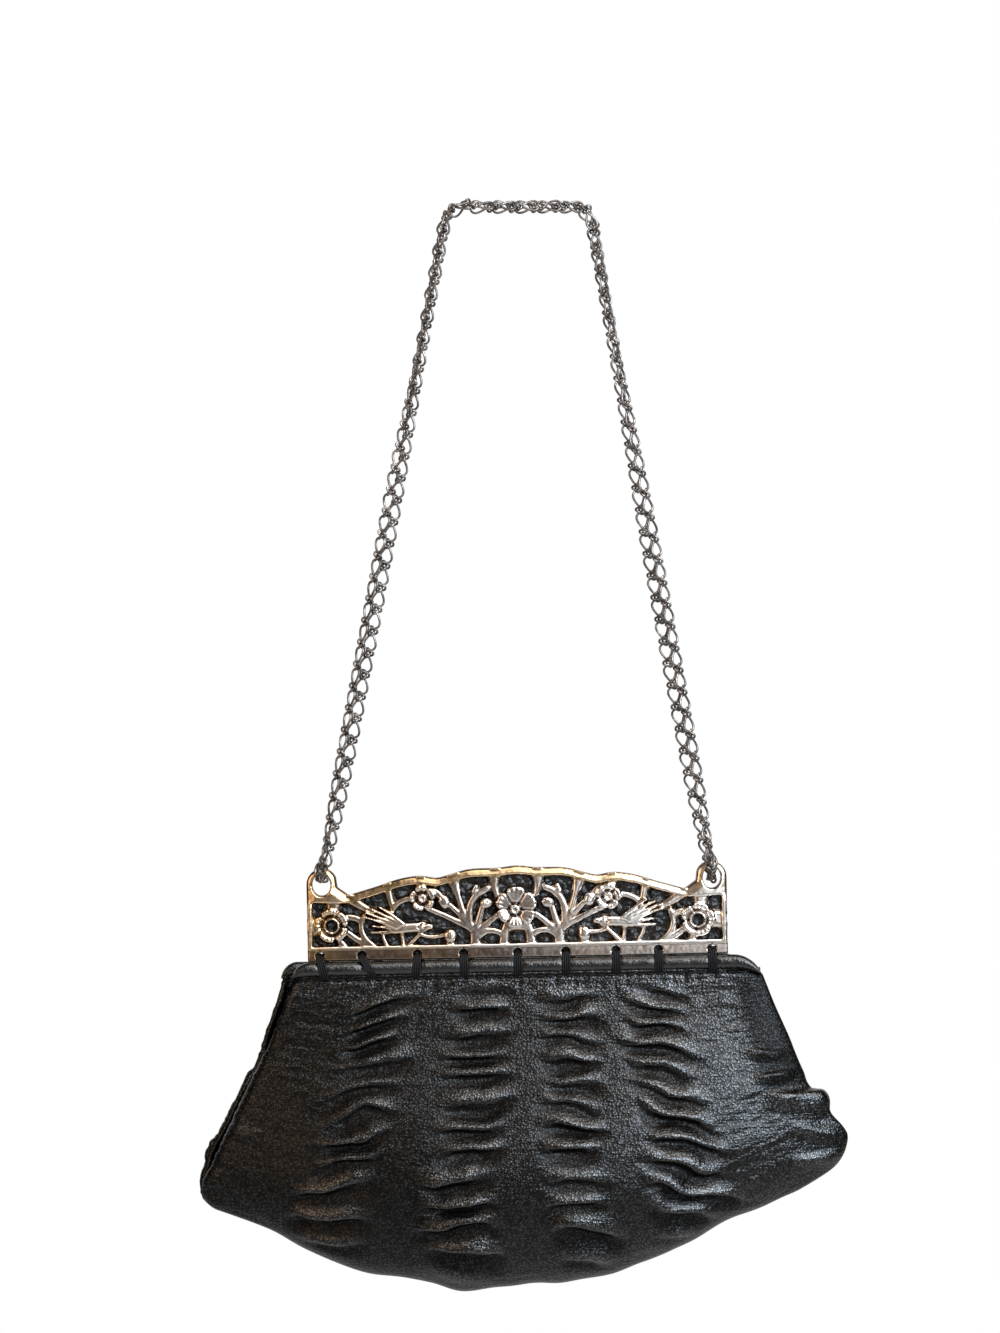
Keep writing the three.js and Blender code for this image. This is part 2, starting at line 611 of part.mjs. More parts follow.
// One strand of the doubled chain, from ear to ear over the hook, as a tube of its outer size.
function chainStrand(facing) {
  const radius = CHAIN_DIAMETER / 2;
  const face = FRAME_REAR + RIM_THICKNESS + FIT_GAP + radius;
  const outward = -facing * CHAIN_PAIR_OFFSET; // the front strand lies outside the back one
  const half = (side) => {
    const top = EAR_HOLE.height + EAR_HOLE.half_height - FIT_GAP - radius;
    const [place, hole] = hung(side * EAR_HOLE.across, top);
    const legAt = (z) => THREE.MathUtils.mapLinear(z, -LEG_TOP.drop, hole, LEG_TOP.across, side * place);
    const route = [
      [side * place, SEAM_HALF_GAP, hole],
      ...EAR_BENDS.map(({ rise, out, spread }) => [
        legAt(hole + Math.max(0, rise)) + spread * outward,
        face + out,
        hole + rise,
      ]),
      ...LEG_BENDS.map(({ drop, spread }) => [legAt(-drop) + spread * outward, LEG_SETBACK, -drop]),
      ...HOOK_BENDS.map(({ beyond, drop }) => [HOOK_HALF_SPAN + beyond, LEG_SETBACK, radius - drop]),
    ];
    return route.map(([x, y, z]) => [side * x, facing * y, z]);
  };
  const points = [...half(-1), [0, facing * LEG_SETBACK, radius], ...half(1).reverse()];
  return sweep(ellipse(0, 0, radius, radius, 8), points, 1);
}

// The frame's half on one side of the middle plane: the back one is the front one turned round.
function frameHalf(name, turn) {
  const half = new THREE.Group();
  half.rotation.z = turn;
  const metal = piece(`frame_${name}`, casting(), castMetal);
  metal.position.y = -FRAME_REAR;
  const sheet = piece(`backing_${name}`, backing(), leather);
  sheet.position.y = -FRAME_REAR + FIT_GAP;
  return half.add(metal, sheet);
}

function pouchHalf(panel) {
  const half = new THREE.Group();
  half.add(piece(`panel_${panel.name}`, panelWall(panel), leather));
  half.add(piece(`binding_${panel.name}`, binding(panel), leather));
  LACE_PLACES.forEach((across, i) => {
    // The back casting is the front one turned round, so its holes run the other way.
    half.add(piece(`lace_${panel.name}_${i + 1}`, lace(-panel.facing * across, panel.facing), thread));
  });
  return half;
}

// Frame and pouch share a group whose origin is the middle of the castings' lower edge.
const bag = new THREE.Group();
bag.position.z = -HANG_DROP;
bag.rotation.y = -THREE.MathUtils.degToRad(HANG_TILT);
bag.add(frameHalf("front", 0), frameHalf("back", Math.PI));
bag.add(piece("hinge_pin_left", hingePin(-1), castMetal), piece("hinge_pin_right", hingePin(1), castMetal));
bag.add(...PANELS.map(pouchHalf));

const clutch = new THREE.Group();
clutch.add(bag);
clutch.add(piece("chain_front", chainStrand(-1), chainMetal), piece("chain_back", chainStrand(1), chainMetal));

export default clutch;
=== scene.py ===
"""Looks for an evening clutch: a ruched leather pouch laced to a pierced cast frame, on a doubled chain.

Sizes and places are in millimetres, and meshes are scaled to metres when they are made.
Frame and pouch are drawn from the middle of the castings' lower edge, the chain from the hook; front is -Y.
"""

import math

import bpy
import numpy as np
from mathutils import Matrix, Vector


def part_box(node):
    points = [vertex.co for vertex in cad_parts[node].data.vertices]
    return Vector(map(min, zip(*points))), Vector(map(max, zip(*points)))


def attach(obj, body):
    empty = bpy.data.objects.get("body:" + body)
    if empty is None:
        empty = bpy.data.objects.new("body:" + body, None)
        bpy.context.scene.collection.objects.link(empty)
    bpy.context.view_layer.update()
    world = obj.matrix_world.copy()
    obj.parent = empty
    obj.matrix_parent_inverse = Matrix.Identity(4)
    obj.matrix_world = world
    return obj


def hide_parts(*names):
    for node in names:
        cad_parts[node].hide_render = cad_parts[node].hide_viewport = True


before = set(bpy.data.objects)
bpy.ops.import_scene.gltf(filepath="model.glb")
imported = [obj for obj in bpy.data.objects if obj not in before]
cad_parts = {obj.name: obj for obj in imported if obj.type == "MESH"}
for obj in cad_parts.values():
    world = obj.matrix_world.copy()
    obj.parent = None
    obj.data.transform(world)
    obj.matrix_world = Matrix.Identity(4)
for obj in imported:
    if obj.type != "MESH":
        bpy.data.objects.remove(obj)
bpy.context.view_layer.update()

MM = 0.001
TINY = 1e-12  # keeps a division from failing
CURVE_STEPS = 200
FRONT, BACK = -1, 1
SIDES = {"front": FRONT, "back": BACK}

# How the bag hangs: drop from the hook to the castings' lower edge, and the tilt that lifts its right side
HANG_DROP = 268.6
HANG_TILT = math.radians(1.15)

# The castings' flat rear face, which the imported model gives
FRAME_REAR = -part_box("frame_front")[1].y / MM

# The photograph: its size in pixels, the hook's pixel, and the real size of a pixel at the bag
PHOTO_SIZE = (1000, 1333)
PHOTO_HOOK = (518, 211)
PHOTO_PIXEL = 0.36
CAMERA_DISTANCE = 1500
CAMERA_FAR = 50  # metres
SENSOR_WIDTH = 36

# The casting's plan
FRAME_HALF_WIDTH = 75.5
RIM_WIDTH = 3.0
SIDE_RIM_WIDTH = 2.2
RAIL_HEIGHT = 5.5
WINDOW_SHOULDER = 20.8
EAR_RADIUS = 5.5
EAR_HEIGHT = 33.3
EAR_NECK = 26.4
EAR_HOLE = {"across": 70.2, "height": 27.4, "half_width": 3.3, "half_height": 3.9}
LACE_HOLE = {"height": 2.0, "radius": 1.4}
LACE_PLACES = (-71.1, -56, -36.1, -19.4, 0, 17.3, 35.3, 50.5, 69.8)
TOP_EDGE = (  # across, height: right half, from the middle to the dip beside the ear
    (0, 32.9), (6, 32.3), (19, 31.6), (24, 30.2), (28.5, 29.1),
    (34.5, 29.9), (41, 29.2), (51, 26.2), (60.5, 23.5),
)
TOP_STEPS = 97
EAR_ARC = (155, -1, -15.5)  # degrees round the ear: start, stop, step

# The casting's relief above its flat rear face
CAST_STEP = 0.285
EDGE_RELIEF = 0.9
RIM_RELIEF = 2.4
RIM_ROUNDING = 0.8
RIM_SLOPE = {"heights": (19, 22), "fall": 0.9}  # how the top rim leans back towards its outer edge
RAIL_RELIEF = 1.75
BEAD = {"height": 5.0, "half": 0.5, "foot": 0.4, "relief": 1.8, "wave": 0.4, "wave_length": 23}
STEM_RELIEF = 2.0
BUD_RELIEF = 2.6
BIRD_RELIEF = 2.6
FEATHER_RELIEF = 3.0
PETAL_RELIEF = 2.7
BOSS_RELIEF = 3.4
FILLET = 1.6
CAST_ROUGHNESS = 0.02
CAST_BUMPS = ((1.7, 3), (0.8, 4))  # size, seed
CAST_SHARP = 50  # degrees

# How worn the casting is, with painted side light added in: a middle value, gains by what stands out and by
# height, a dull rail, and a painted side light that is darker on the left and brighter on the right
WEAR = {"middle": 0.52, "edges": 0.5, "height": 0.16, "blur": 12}
# The rail is darker towards its lower edge
RAIL_FOOT_DARKENING = {"amount": 0.14, "heights": (0, 4.5)}
# Painted side light: the silver is darker on the left and brighter on the right, where the light falls
PAINTED_SIDE_LIGHT = {"shift": (-0.05, 0.14), "across": (-50, 60)}  # duller on the left, brighter on the right

# Painted warm reflection of the room: along the top rim, less on its right, more on the left and at the left
# end, in patches
WARM_REFLECTION_RIM = {"inset": (-4, -2.6), "heights": (8, 22)}
WARM_REFLECTION_FADE = {"across": (10, 60), "share": 0.6}
WARM_REFLECTION_END = {"across": (62, 74), "share": 0.6}
WARM_REFLECTION_LEFT = {"across": (0, 45), "share": 0.3}
WARM_REFLECTION_PATCHES = {"size": 9, "share": 0.25, "seed": 8}
WARM_REFLECTION_MOST = 0.85

# Stems on the left half, also mirrored: three points of a bend, and the widths at its two ends
STEMS = (
    ((-66, 17), (-66, 18.4), (-66, 19.8), 3.6, 4.4),  # end flower to the band
    ((-66.5, 12.8), (-70, 12.6), (-74.5, 12.4), 5.0, 5.6),
    ((-15.1, 4), (-15.2, 7.5), (-15.1, 11.1), 3.8, 3.0),  # trunk
    ((-16.6, 10.8), (-19.2, 22.5), (-10.4, 25.1), 2.1, 1.8),  # tall shoot and its spur
    ((-15.3, 23.8), (-15, 24.8), (-14.6, 25.8), 1.5, 1.2),
    ((-7.6, 31), (-8.4, 27), (-7.0, 22.8), 4.2, 1.5),  # drops from the rim
    ((-22.6, 29.8), (-22.4, 27), (-21.4, 24.2), 4.5, 2.4),
    ((-21.4, 24.2), (-20.4, 20), (-18.6, 14.5), 1.5, 1.5),
    ((-24.3, 19.7), (-20.5, 16), (-16.2, 11), 1.3, 1.7),  # to the upper bud
    ((-32, 18.2), (-25, 15.5), (-16.2, 10.6), 1.4, 1.7),  # to the small flower
    ((-31.5, 24.6), (-29, 25), (-27.2, 22.3), 1.7, 1.7),
    ((-34.6, 25.2), (-34.5, 27), (-34.4, 29), 2.2, 3.2),  # small flower to the rim
    ((-37.8, 22.2), (-44.5, 21.3), (-45, 16.6), 1.5, 1.5),
    ((-46.8, 28), (-46, 24), (-44.8, 19.4), 2.4, 1.6),  # stalk behind the bird
    ((-60, 22.5), (-57, 20), (-52, 17.6), 3.2, 1.8),  # rim to the wing tip
    ((-74, 13), (-72, 13), (-70, 13), 3.4, 3.0),  # end flower to the side
    ((-64, 7.6), (-63, 6), (-61.8, 4), 1.6, 2.8),
    ((-61.5, 10.6), (-57.5, 7.2), (-51.8, 4.2), 1.7, 1.7),
    ((-55.2, 15.8), (-58.4, 9), (-50.4, 4.2), 1.6, 1.6),  # frond
    ((-61.5, 15.6), (-58.5, 16), (-56, 14.2), 1.8, 1.7),
    ((-12.6, 18.3), (-13.4, 15), (-14.8, 10.8), 1.6, 1.8),  # to the inner bud
    ((-14.2, 9.4), (-11, 12.5), (-6.6, 15.8), 1.8, 1.6),  # to the middle flower
    ((-14, 8), (-10.3, 11.6), (-5.4, 8.6), 1.6, 1.6),
    ((-4.9, 3.8), (-5, 7.5), (-3.9, 11.3), 3.5, 2.7),  # post and bar under it
    ((-4, 10.9), (-2, 11.2), (0.2, 11.2), 2.0, 2.0),
    ((-24.3, 3.8), (-24.2, 5.5), (-24.1, 7.5), 3.0, 2.4),  # low bud's foot
)
STEM_SPREAD = 0.75  # how much wider the stems are at their foot than along their ridge
STROKE_STEPS = 8

# Buds on the left half, also mirrored: across, height, half length, half width, lean in degrees
BUDS = ((-26.1, 20.7, 2.8, 2.2, 115), (-11.1, 19.8, 2.5, 2.05, 10), (-24.1, 8.4, 2.6, 2.5, 90))
BUD_VEIN = {"count": 3, "depth": 0.5, "fade": (-1.2, 0.2)}
VEIN_SHARPNESS = 8

# Flowers: across, height, petals, radius, sway to the upper right, boss, pit in it, if it goes through, turn
FLOWERS = (
    (-0.7, 17.4, 6, 7.7, 0.13, 1.9, 0.6, False, 88),
    (-33.9, 22.1, 5, 5.0, 0, 1.8, 0.5, False, 98),
    (32.9, 21.5, 5, 5.0, 0, 1.8, 0.5, False, 82),
    (-66.6, 12.8, 5, 6.4, 0, 3.1, 1.8, True, 102),
    (65, 12.6, 5, 6.4, 0, 3.1, 1.8, True, 78),
)
SWAY_HEADING = math.radians(60)
PETAL_NOTCH = {"depth": 0.2, "sharpness": 5}
PETAL_GROOVE = {"width": 0.2, "depth": 1.0}
PETAL_ROUNDING = 1.0
PETAL_DISH = {"depth": 0.75, "reach": 0.85}
PETAL_VEIN = {"count": 4, "depth": 0.2, "shares": (0.4, 0.8)}
BOSS_MOAT = {"width": 0.4, "depth": 0.5}
PIT_DEPTH = 1.3
ROUNDING_SHARE = 0.7  # how much of their half width the stems, buds and birds round off

# Birds: where the eye is, and which way the beak points
BIRDS = ({"across": -34.2, "height": 11.7, "faces": 1}, {"across": 31.3, "height": 12.6, "faces": -1})
# Parts of a bird that faces right, from its eye: three points of a bend, two widths, relief
BIRD_STROKES = (
    ((0, 0), (-5, -0.1), (-10, -0.4), 3.6, 4.2, BIRD_RELIEF),  # body
    ((1.6, 0.1), (2.4, 0.2), (3.2, 0.2), 2.5, 1.9, BIRD_RELIEF),  # beak
    ((-8.4, -0.7), (-12.6, 0.2), (-17.8, 0.7), 1.5, 0.8, BIRD_RELIEF),  # tail
    ((-8.4, -1.5), (-12.4, -1.7), (-18.2, -1.5), 1.7, 0.9, STEM_RELIEF),
    ((-6.6, 1.2), (-10.4, 4.8), (-15.3, 7.6), 1.6, 0.8, FEATHER_RELIEF),  # feathers of the wing
    ((-7.6, 1.0), (-12, 4.0), (-18.2, 6.9), 1.6, 0.8, FEATHER_RELIEF),
    ((-8.4, 0.6), (-13.4, 3.1), (-20.2, 5.7), 1.6, 0.8, FEATHER_RELIEF),
    ((-9, 0.1), (-14, 2.0), (-21, 4.1), 1.6, 0.8, FEATHER_RELIEF),
    ((-14.2, -2.4), (-13.8, -5), (-11.4, -8.4), 1.3, 1.4, STEM_RELIEF),  # legs
    ((-7.2, -2.4), (-7.2, -5), (-6.4, -8.4), 1.3, 1.4, STEM_RELIEF),
    ((-6, -7.6), (-3.6, -5), (-0.8, -2.4), 1.4, 1.3, STEM_RELIEF),  # stems under the chin
    ((-0.8, -2.6), (3.6, -4.6), (8.7, -2.6), 1.3, 1.3, STEM_RELIEF),
)
BIRD_SPREAD = 0.3
BIRD_HEAD = {"radius": 2.2, "lift": 0.2}
BIRD_EYE = {"ring": 1.1, "width": 0.3, "depth": 0.7}

# The backing that shows through the gaps
BACKING_INSET = 1.4
BACKING_TAB = {"half_width": 64.5, "low": 0.5}
BACKING_GAP = 0.3
BACKING_THICKNESS = 0.75
BACKING_PUFF = 0.5
BACKING_PUFFS = ((2.9, 1, 5), (1.3, 0.5, 6))  # size, weight, seed
BACKING_STEP = 0.8
BACKING_SHARP = 60  # degrees

# The pouch: lower outline as share across the panel, place across and drop below the castings
BOTTOM_EDGE = (
    (-1, -119.1, 85.2), (-0.96, -114, 87.3), (-0.9, -107, 89.9), (-0.8, -94.5, 94.6), (-0.65, -78.8, 103.4),
    (-0.48, -59.2, 111.8), (-0.3, -37, 116), (-0.16, -20.4, 119.2), (-0.06, -8, 118.3), (0.04, 3.5, 116.8),
    (0.14, 15, 117.1), (0.27, 31, 114.2), (0.45, 52, 107.4), (0.61, 70.8, 97.2), (0.72, 84, 91.7),
    (0.86, 101, 85.4), (0.92, 108.4, 81.2), (0.97, 115.6, 76), (1, 120.2, 71),
)
# Side edges of each panel, as drop and place across: front left, front right, back left, back right
SIDE_EDGES = {
    ("front", -1): (
        (5.2, -79.8), (13.7, -83.8), (30.9, -91.4), (54.4, -103.3), (69.4, -111), (85.2, -119.1),
    ),
    ("front", 1): (
        (5.2, 87), (9.7, 88.6), (19.8, 92.3), (28.9, 96.3), (42.4, 101.8), (48.8, 105.2), (51.4, 109),
        (57.7, 111.8), (62.4, 115.8), (67, 118.4), (71, 120.2),
    ),
    ("back", -1): (
        (5.2, -85), (11, -86.6), (23.4, -91.2), (38.4, -96.9), (46.2, -101.8), (56.9, -107.2),
        (68.3, -113.2), (75.1, -115.6), (85.2, -119.1),
    ),
    ("back", 1): ((5.2, 83.5), (30, 95), (50, 104), (62, 113), (71, 120.2)),
}
HEM_BUMPS = {"count": 11, "height": 0.7, "seed": 17}
CORNER = {"across": 0.92, "down": 0.9}  # shares beyond which the lower corners are rounded
WALL = 1.6
WALL_TURN = 8  # how close to its edges the inner side turns in
SEAM_HALF_GAP = 0.15
EDGE_DEPTH = (3, 6)
CROWN_DEPTH = (1.7, 15.5)
CROWN_FLATNESS = 2.4
CLOSING_START = 0.68
SIDE_START = {-1: 0.96, 1: 0.92}  # shares beyond which the sides turn towards the seam
SIDE_TURN = math.radians(135)
# The right band's painted shade, where the leather turns away from the light
EDGE_BAND = {"shares": (0.84, 0.93), "ends": (0.5, 0.64), "shade_and_dull": 0.5}  # along the right side
PANEL_COLUMNS = 250
SIDE_COLUMNS = 13
PANEL_ROWS = 150
HEM_ROWS = 84
PANEL_SEED = 31

# Columns of gathers: share across, half width, rise; tilt above and below, arch and phase of the folds
GATHERS = (
    {"share": -0.6, "half": 0.145, "rise": 1.45, "tilt": (0.5, 0.05), "arch": 0.15, "phase": 0.0},
    {"share": -0.2, "half": 0.15, "rise": 1.6, "tilt": (0.0, 0.0), "arch": 0.1, "phase": 0.45},
    {"share": 0.19, "half": 0.13, "rise": 1.45, "tilt": (0.0, 0.0), "arch": 0.12, "phase": 0.2},
    {"share": 0.54, "half": 0.155, "rise": 1.55, "tilt": (-0.55, -0.45), "arch": 0.0, "phase": 0.6},
)
FOLDS = 20
FOLD_TOP = 9
FOLD_PITCHES = (6.8, 10.8)  # from the top of the run of folds to its bottom
FOLD_RUN = 105
FOLD_CREST = 0.66
FOLD_SWELL = 0.8
FOLD_SAG = 0.9
FOLD_WOBBLE = 0.35
FOLD_DEPTHS = (0.6, 1.15)
FOLD_GROWTH = (0.9, 1.5)  # how the depth grows from the top to the bottom
FOLD_SHIFT = 0.2
FOLD_WIDTHS = (0.85, 1.25)
FOLD_TAPER = 0.8
FOLD_ENDS = ((0.02, 0.1), (0.02, 0.09))  # shares in which folds fade: down from the top, up from the hem
RELIEF_ENDS = ((0, 0.4), (-0.01, 0.04))  # and all relief: by the depth that is kept, up from the hem
STITCH_GROOVE = {"depth": 0.35, "half": 0.7}

# Noise over a panel: bumps across and down, shift across, weight, seed
FOLD_WAVER = ((7, 9, 40, 1, 1), (17, 21, 0, 0.15, 6))
WRINKLES = ((11, 46, 0, 1, 2), (23, 90, 0, 0.6, 3))
BROAD_BUMPS = ((3.2, 4, 9, 1, 4),)
PUCKERS = ((60, 5, 0, 1, 5),)
WRINKLE_RISE = {"rise": 0.16, "middle": 0.5, "sides": (0.5, 0.9), "band": 1.4}  # most at the left side
BROAD_RISE = {"rise": 0.55, "down": (0, 0.2)}
PUCKER_RISE = {"rise": 0.12, "down": 0.03, "half": 0.04}

# How polished a place is, which also sets painted shade and painted sheen: middle value, relief that adds a
# whole step, and gains at groove, top and right; a low value paints shade into creases and the stitch
# groove, and the top and right gains paint sheen where the light falls
CREST_SHADE_SHEEN = {"middle": 0.6, "folds": 2.6, "creases": 4, "groove": 0.5, "top": 0.27, "right": 0.15}
TOP_SHEEN_FADE = (0.03, 0.16)
# Painted side sheen: the right side is made shinier and the left duller, out to this share across
SIDE_SHEEN_LEFT_END = -0.35  # share across beyond which the left side gets no duller

# Single creases: panel, across, drop, half length, slope in degrees, rise and height of the fold below it
CREASES = (
    ("front", 101, 49.8, 16, 1, 2.4, 9),
    ("front", 106, 62.4, 11, 12, 1.2, 6),
    ("front", 106, 72.3, 12, -4, 1.2, 7),
    ("front", 88, 34.5, 9, 8, 1.0, 5),
    ("front", 91, 42.5, 9, -6, 1.1, 5),
    ("front", -97.4, 58, 8, 22, 0.8, 6),
    ("front", -87, 36, 7, 6, 0.4, 4),
    ("back", -100, 39, 12, 0, 0.9, 9),
    ("back", -110, 64, 12, 0, 0.9, 9),
    ("back", 98, 49, 13, 0, 1.4, 9),
)
CREASE_LIP = 0.16
CREASE_TAPER = 0.7

# The rolled binding: its ends' places across, how far in they round off, and how far they droop
BINDING_HEIGHT = 5.2
BINDING_DEPTH = 4.4
BINDING_SETBACK = 3.4
BINDING_GAP = 0.3
BINDING_ENDS = {"front": (-81.4, 87.4), "back": (-85.6, 84)}
BINDING_ROUNDING = {-1: 6, 1: 10}
BINDING_DROOP = {-1: 0.8, 1: 2.6}
BINDING_PINCH = {"half": 1.5, "dent": 0.45, "flattens": 0.3}  # where a lace crosses it
BINDING_SWELL = {"rise": 0.08, "length": 3.1, "seed": 11}
BINDING_TAPER = 0.9
BINDING_TIP = 0.999  # share of the rounding at which an end is cut off
BINDING_RINGS = 281
BINDING_SIDES = 20

# The stitches under it
STITCH = {"drop": 6.6, "pitch": 3.6, "length": 2.5, "radius": 0.3, "stand": 0.1, "margin": 3}
STITCH_SINK = {"lift": 0.6, "dip": 0.15, "thins": 0.35, "power": 4}
STITCH_POINTS = 7
STITCH_PANEL_HEIGHT = 100
THREAD_SIDES = 8

# The lacing: strands side by side in each bundle, and how far some bundles lean to the right
LACE_STRANDS = 4
LACE_STRAND_RADIUS = 0.34
LACE_SPREAD = 0.78
LACE_LEAN = {-71.1: 1.4, -56: 3.6, -36.1: -0.6}
LACE_STEPS = 28
LACE_GATHERED = {"share": 0.75, "drops": (-2, 2)}  # how close the strands are at their hole
LACE_ROUTE = (  # y outward, height, share of the lean
    (FRAME_REAR - 0.25, 1.6, 0), (FRAME_REAR + 1.2, 1.6, 0), (4.0, 1.45, 0), (4.75, 0.9, 0.05),
    (5.3, -0.1, 0.2), (5.75, -1.3, 0.45), (5.85, -2.8, 0.7), (5.6, -4.3, 0.9), (4.95, -5.7, 1),
    (4.3, -6.5, 1),
)

# The chain: a strand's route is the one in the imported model, with the pair closer together high up
CHAIN_RADIUS = 1.6
CHAIN_PAIR_OFFSET = 1.5
HOOK_HALF_SPAN = 23
LEG_TOP = {"across": 27.6, "drop": 10}
LEG_SETBACK = 2.1
EAR_BENDS = ((-0.2, -2, 0), (0.8, 0, 0), (4, 0.5, 0), (12, 0, 0.2), (30, -1.9, 0.8))  # rise, out, spread
LEG_BENDS = ((170, 1), (110, 0.9), (82, 0.55), (52, 0.15), (22, 0), (10, 0))  # drop, spread
HOOK_BENDS = ((2.6, 4.2), (-1.5, 0.5), (-8, 0))  # beyond the hook's half span, drop
LINK_PITCH = 7.9
LINK_LENGTH = 5.9
LINK_WIDTH = 3.9
STRAND_TWIST = {FRONT: 0.8, BACK: 0.1}
STRAND_PHASE = {FRONT: 0.75, BACK: 0.4}
LINK_TAPER = 0.5
WIRE_RADIUS = 0.43
KNOT_SCALE = 0.62
KNOT_DEPTH = 0.7
LOOP_STEPS = 26
KNOT_STEPS = 42
WIRE_SIDES = 7
TWIST_WANDER = {"amount": 0.4, "links": 6, "shift": 5, "seed": 21}
EAR_LINK = {"half_depth": 5.5, "half_height": 3.3, "wire": 0.5, "lift": 1.0, "fan": (-1.7, 0.2, 1.9)}
EAR_LINK_STEPS = 30
EAR_LINK_SIDES = 8
CHAIN_START = 1.5
ROUTE_STEPS = 4000

# Colours by value: place in the range of the value, colour
LEATHER_COLOURS = (
    (0.3, (0.002, 0.0018, 0.0016)), (0.55, (0.003, 0.0026, 0.0022)), (0.75, (0.006, 0.0044, 0.0032)),
)
SILVER_COLOURS = (
    (0.15, (0.02, 0.016, 0.014)), (0.42, (0.26, 0.21, 0.185)), (0.62, (0.74, 0.67, 0.62)),
    (0.85, (0.95, 0.92, 0.88)),
)
# Colours of the painted warm reflection on the casting
REFLECTED_GOLD_COLOURS = ((0.12, (0.05, 0.032, 0.016)), (0.4, (0.42, 0.27, 0.12)), (0.7, (0.84, 0.6, 0.33)))
CHAIN_COLOURS = ((0.3, (0.09, 0.078, 0.07)), (0.5, (0.22, 0.195, 0.18)), (0.72, (0.55, 0.51, 0.48)))
THREAD_COLOURS = ((0.2, (0.003, 0.003, 0.0035)), (0.8, (0.009, 0.009, 0.01)))

# Leathers: if they have crests and creases, pebbles per metre, depth of the grain in metres, polish
LEATHERS = {
    "ruched_leather": (True, 1200.0, 0.00013, 0.0),
    "plain_leather": (False, 1150.0, 0.0001, 0.05),
    "crinkled_leather": (False, 380.0, 0.0009, 0.0),
}
NOISE_RANGE = (0.3, 0.7)  # where most of a noise texture's values lie
LEATHER_PATCHES = {"scale": 38.0, "detail": 4.0}
LEATHER_ROUGHNESS = (0.25, 0.32)
LEATHER_SHINE = {"plain": 0.5, "by_polish": 6}
LEATHER_BUMP = 0.8
FINE_GRAIN = {"finer": 2.6, "weight": 0.6}
WRINKLE_SCALE = (170.0, 170.0, 1150.0)  # fine wrinkles that run across, per metre
WRINKLE_WEIGHT = 2.2
# Colour of the painted shade in the creases and the stitch groove
CREASE_SHADE_COLOUR = (0.001, 0.001, 0.001)

# Ranges of a value, and what they become
PEBBLE_HEIGHT = (0.0, 0.8, 1.0, 0.0)
# How a low crest value becomes painted shade in the colour
CREASE_SHADE = (0.0, 0.5, 0.7, 0.0)
CREST_SMOOTHS = (0.1, 0.9, 0.1, -0.09)
CREST_SHINE = (0.48, 1.0, 0.2, 0.9)
SPECKLE = (0.65, 1.2, 0.55, 2.5)

# Metals and thread: textures per metre, depths in metres
CAST_TARNISH = {"scale": 240.0, "detail": 4.0, "weight": 0.12}
CAST_SHINE = (0.17, 0.28)
CAST_GRAIN = {"scale": 500.0, "strength": 0.15, "depth": 0.0002}
CHAIN_WEAR = {"scale": 330.0, "detail": 3.0}
CHAIN_SHINE = (0.5, 0.3)
THREAD_TWIST = {"scale": 900.0, "strength": 0.4, "depth": 0.0001}
THREAD_ROUGHNESS = 0.6
THREAD_SHINE = 0.25

# Stage, in metres, well clear of the bag
STAGE = {"reach": 4, "floor": -0.9, "behind": 2.6, "top": 3}
STAGE_ROUGHNESS = 0.9
FLOOR_SHADE = 0.7
BACKDROP_GLOW = 1.0

# Soft lights: place and size in metres, power in watts, colour
LIGHTS = {
    "window": ((1.0, -1.45, 0.45), 1.3, 15, (0.74, 0.87, 1.0)),
    "room": ((-1.2, -1.1, 0.1), 1.0, 2.3, (1.0, 0.73, 0.53)),
    "ceiling": ((0.45, -1.15, 1.3), 1.8, 11, (1.0, 0.95, 0.9)),
    "front_wall": ((0.0, -2.4, -0.1), 2.2, 0.6, (1.0, 0.82, 0.7)),
    "doorway": ((0.32, -1.6, -0.35), 0.4, 0.2, (0.9, 0.95, 1.0)),
}
LIGHT_AIM = 50  # how far under the castings' lower edge the lights point
LIGHT_SPREAD = math.radians(100)
ROOM_GLOW = (0.05, 0.04, 0.031)


def lerp(low, high, share):
    return low + (high - low) * share


def smoothstep(value, low, high):
    """0 below low, 1 above high, and a smooth rise between."""
    share = np.clip((value - low) / (high - low), 0, 1)
    return share * share * (3 - 2 * share)


def curve_through(places, values):
    """A smooth curve through a table's points, as a function of place."""
    places, values = np.array(places, float), np.array(values, float)
    slopes = np.gradient(values, places)

    def curve(place):
        index = np.clip(np.searchsorted(places, place) - 1, 0, len(places) - 2)
        span = places[index + 1] - places[index]
        t = (place - places[index]) / span
        rise = values[index] * (1 + 2 * t) * (1 - t) ** 2 + values[index + 1] * t * t * (3 - 2 * t)
        return rise + span * (slopes[index] * t * (1 - t) ** 2 - slopes[index + 1] * t * t * (1 - t))

    return curve


def smooth_table(places, values):
    """Many close points of a table's smooth curve."""
    fine = np.linspace(places[0], places[-1], CURVE_STEPS)
    return fine, curve_through(places, values)(fine)


def noise(u, v, seed):
    """Even noise from -1 to 1, with one bump to each unit of u and v."""
    size = 64
    lattice = np.random.default_rng(seed).uniform(-1, 1, (size, size))
    i, j = np.floor(u).astype(int), np.floor(v).astype(int)
    s, t = smoothstep(u - i, 0, 1), smoothstep(v - j, 0, 1)
    low = lerp(lattice[i % size, j % size], lattice[(i + 1) % size, j % size], s)
    high = lerp(lattice[i % size, (j + 1) % size], lattice[(i + 1) % size, (j + 1) % size], s)
    return lerp(low, high, t)


def blurred(field, passes):
    """A grid of values, softened a little more by each pass."""
    for _ in range(passes):
        padded = np.pad(field, 1, mode="edge")
        field = (padded[:-2, 1:-1] + padded[2:, 1:-1] + 2 * field) / 4
        padded = np.pad(field, 1, mode="edge")
        field = (padded[1:-1, :-2] + padded[1:-1, 2:] + 2 * field) / 4
    return field


